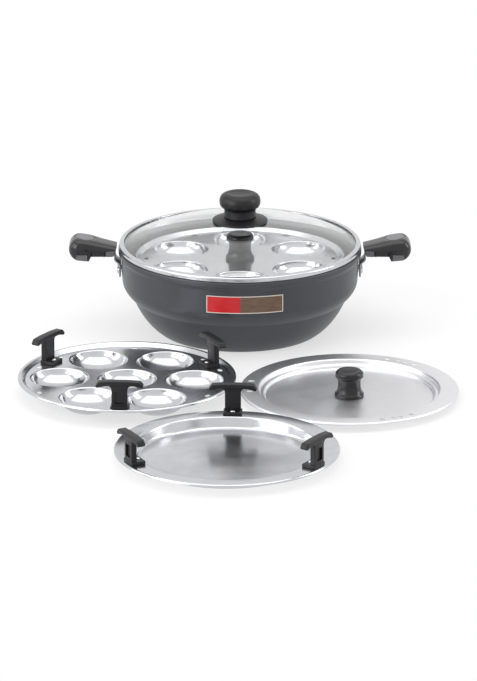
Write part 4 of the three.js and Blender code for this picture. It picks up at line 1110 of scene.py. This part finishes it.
def punch(sheet, middle, groups, per_group, pitch, first_angle, ring_r, length, width, turn, height, finish):
    """Punches groups of slots through a sheet. Distances are in millimetres and angles in degrees."""
    return grow(PUNCH_TREE, sheet, Groups=groups, Per_group=per_group, Pitch=pitch * MM, Ring_radius=ring_r * MM,
                First_angle=math.radians(first_angle), Height=height * MM, Middle=(middle[0], middle[1], 0.0),
                Slot_length=length * MM, Slot_width=width * MM, Slot_turn=math.radians(turn), Depth=PUNCH_DEPTH * MM,
                Finish=finish)


for slot_pitch, slot_length, slot_width in ((8.4, 5.4, 4.8), (35, 7.4, 5.2)):
    punch(slotted, STEAMER_AT, 3, 2, slot_pitch, 60 + TABLE_TURN, SLOT_RING, slot_length, slot_width, 0,
          SLOT_LEVEL, STEAMER_STEEL)
dress(slotted, STEAMER_STEEL, "slotted_plate", "polished_steel", "steamer_plate")
stand_spool("slotted", "slotted_plate", "steamer", STEAMER_AT, SPOOL_SEAT, STEAMER_STEEL, skirt=SPOOL_SKIRT)

# %% [markdown]
# ## Cup plates
# Idli plates have round cups pressed into one sheet. The upper face is built in three parts that share their edges: the
# cups, a raised rim, and a flat web that fills what lies between. A narrow flat band round each lip keeps the shading
# of the web even. The Solidify modifier gives the face its thickness, and the punching tree makes the steam holes.

# %% Cup sheet
CUP_TOP = 15.8


def ring_edges(mesh, ring):
    return [mesh.edges.get((a, b)) for a, b in zip(ring, ring[1:] + ring[:1])]


def cup_sheet(name, centres, lip_r, lip_bend, middle, base):
    """A sheet with cups at the given centres. Centres are in metres from the plate's middle."""
    mesh = bmesh.new()
    cup = [(0, 0.8, 0), (10, 0.8, 16), *curve((10, 0.8), (29, 3.8), (lip_r, CUP_TOP), 12)[2:-1]]
    cup += [(lip_r, CUP_TOP, lip_bend), (lip_r + lip_bend + 0.3, CUP_TOP, 0)]
    rim = [(109.5, CUP_TOP, 0), (110.2, CUP_TOP, 1), (114.65, 19.8, 1.4), (118.65, 19.8, 2.2), (118.65, 17.3, 0)]
    loops = ring_edges(mesh, turn_into(mesh, rounded(rim), SHEET_SIDES)[0])
    for centre in centres:
        loops += ring_edges(mesh, turn_into(mesh, rounded(cup, steps=8), CUP_SIDES, centre)[-1])
    bmesh.ops.triangle_fill(mesh, edges=loops, use_beauty=True, normal=(0, 0, 1))
    bmesh.ops.recalc_face_normals(mesh, faces=mesh.faces)
    mesh.faces.ensure_lookup_table()
    if sum(face.normal.z * face.calc_area() for face in mesh.faces) < 0:
        bmesh.ops.reverse_faces(mesh, faces=mesh.faces)
    bmesh.ops.translate(mesh, verts=mesh.verts, vec=(middle[0], middle[1], base * MM))
    sheet = to_object(name, mesh, outward=False)
    thickness = sheet.modifiers.new("Sheet", "SOLIDIFY")
    thickness.thickness, thickness.offset, thickness.use_even_offset = PLATE_T * MM, -1, True
    return settle(sheet)


def ring_of_six(pitch, start):
    angles = [math.radians(start + 60 * k) for k in range(6)]
    return [(pitch * MM * math.cos(a), pitch * MM * math.sin(a)) for a in angles]

print("the web of a cup plate lies", CUP_TOP, "mm up")

# %% The two cup plates
STEAM_RING, CUP_LUG_R, WEB_LEVEL = 104.65, 104.65, 15.4  # the level is the middle of the web's sheet
HOLE_LENGTH, HOLE_WIDTH = 8, 5
seven = cup_sheet("seven_cup_sheet", [(0, 0), *ring_of_six(73.5, TABLE_TURN)], 31.4, 2, IDLI_AT, 0)
lug_angle = -90 + TABLE_TURN
beside_lug = 2 * math.radians(11) * STEAM_RING
punch(seven, IDLI_AT, 3, 2, beside_lug, lug_angle, STEAM_RING, HOLE_LENGTH, HOLE_WIDTH, 90, WEB_LEVEL, IDLI_STEEL)
punch(seven, IDLI_AT, 3, 1, 0, lug_angle + 60, STEAM_RING, HOLE_LENGTH, HOLE_WIDTH, 90, WEB_LEVEL, IDLI_STEEL)
dress(seven, IDLI_STEEL, "seven_cup_plate", "polished_steel", "idli_plate")
stand_lugs("seven_cup", "seven_cup_plate", "idli", IDLI_AT, CUP_LUG_R, lug_angle, CUP_TOP, IDLI_STEEL)

UPPER_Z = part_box("upper_idli_plate")[0].z / MM
upper = cup_sheet("upper_cup_sheet", ring_of_six(76.8, 30), 30.6, 1.4, (0, 0), UPPER_Z)
punch(upper, (0, 0), 6, 1, 0, 0, STEAM_RING, HOLE_LENGTH, HOLE_WIDTH, 90, UPPER_Z + WEB_LEVEL, PAN_STEEL)
dress(upper, PAN_STEEL, "upper_plate", "polished_steel", "upper_idli_plate")
stand_spool("upper", "upper_plate", "upper_plate", (0, 0), UPPER_Z + CUP_TOP, PAN_STEEL)
discard(LUG, LUG_RIVET)

# %% [markdown]
# ## Floor
# The set stands on a plain white floor. Where it is near the pieces it is partly an ordinary matt surface, so that it
# takes their shadows. Further out it glows white, for the camera and in what metal and glass show, and so it runs into
# the background without an edge.

# %% Floor
FLOOR_R, FLOOR_MIDDLE_Y, FLOOR_Z = 4, -0.2, -0.0005
NEAR, FAR, NEAR_GLOW = 0.3, 0.8, 0.6  # metres from the middle, and the share of glow up to the first of them


def shows_background(tree):
    """1 for rays that show the background: from the camera, and in metal and glass."""
    path = add_node(tree, LIGHT_PATH).node.outputs
    shown = path["Is Camera Ray"]
    for ray in ("Is Transmission Ray", "Is Glossy Ray"):
        shown = add_node(tree, MATH, (shown, path[ray]), operation="MAXIMUM")
    return shown


def floor_material():
    material, tree, place = start_material("white floor")
    paper = add_node(tree, NOISE, {"Vector": place, "Scale": 1 / (30 * MM), "Detail": 3})
    tone = add_node(tree, MIX, {0: paper, MIX_A: linear("#f2f2f2"), MIX_B: linear("#eeeeee")}, MIX_COLOUR,
                    data_type="RGBA")
    matt = add_node(tree, PRINCIPLED, {"Base Color": tone, "Roughness": 0.9})
    glow = add_node(tree, "ShaderNodeEmission", {"Color": linear("#ffffff"), "Strength": 1})
    away = add_node(tree, VECTOR, (place,), "Value", operation="LENGTH")
    share = add_node(tree, RANGE, (away, NEAR, FAR, NEAR_GLOW, 1), **SMOOTH)
    white = add_node(tree, MATH, (share, shows_background(tree)), operation="MULTIPLY")
    add_node(tree, SURFACE, {"Surface": add_node(tree, MIX_SHADER, (white, matt, glow))})
    return material


mesh = bmesh.new()
bmesh.ops.create_circle(mesh, cap_ends=True, radius=FLOOR_R, segments=96)
bmesh.ops.translate(mesh, verts=mesh.verts, vec=(0, FLOOR_MIDDLE_Y, FLOOR_Z))
floor = to_object("floor", mesh, outward=False)
floor.data.materials.append(floor_material())
print("floor of", 2 * FLOOR_R, "m")

# %% [markdown]
# ## Studio light
# The world is a plain white for the camera, for metal and for glass, and an even, weaker light for everything else.
# Four soft boxes light the set at a plain level: a large one overhead, one at either side, and one in front on the
# left.

# %% World
EVEN_LIGHT, WHITE = 0.6, 1


def studio_world():
    world = bpy.data.worlds.new("studio")
    world.use_nodes = True
    tree = world.node_tree
    tree.nodes.clear()
    even, plain = (add_node(tree, "ShaderNodeBackground", {"Color": linear("#ffffff"), "Strength": strength})
                   for strength in (EVEN_LIGHT, WHITE))
    add_node(tree, "ShaderNodeOutputWorld",
             {"Surface": add_node(tree, MIX_SHADER, (shows_background(tree), even, plain))})
    return world


scene = bpy.context.scene
scene.world = studio_world()
scene.view_settings.view_transform = "Standard"
print("world", scene.world.name)

# %% Soft boxes
SOFT_BOXES = {  # place, aim and size in metres, and watts
    "overhead box": ((0, -0.1, 2.1), (0, -0.2, 0), (2.6, 2.1), 24),
    "left box": ((-1.7, -0.1, 0.8), (0, 0, 0.1), (0.5, 1.3), 6),
    "right box": ((1.7, -0.1, 0.8), (0, 0, 0.1), (0.5, 1.3), 10),
    "front left box": ((-1.25, -1.05, 0.6), (0, 0, 0.06), (1.0, 1.2), 14),
}
for name, (place, aim, size, watts) in SOFT_BOXES.items():
    lamp = bpy.data.lights.new(name, "AREA")
    lamp.shape, lamp.size, lamp.size_y, lamp.energy = "RECTANGLE", *size, watts
    box = bpy.data.objects.new(name, lamp)
    box.location = place
    box.rotation_euler = (Vector(aim) - Vector(place)).to_track_quat("-Z", "Y").to_euler()
    bpy.context.collection.objects.link(box)
print(len(SOFT_BOXES), "soft boxes")
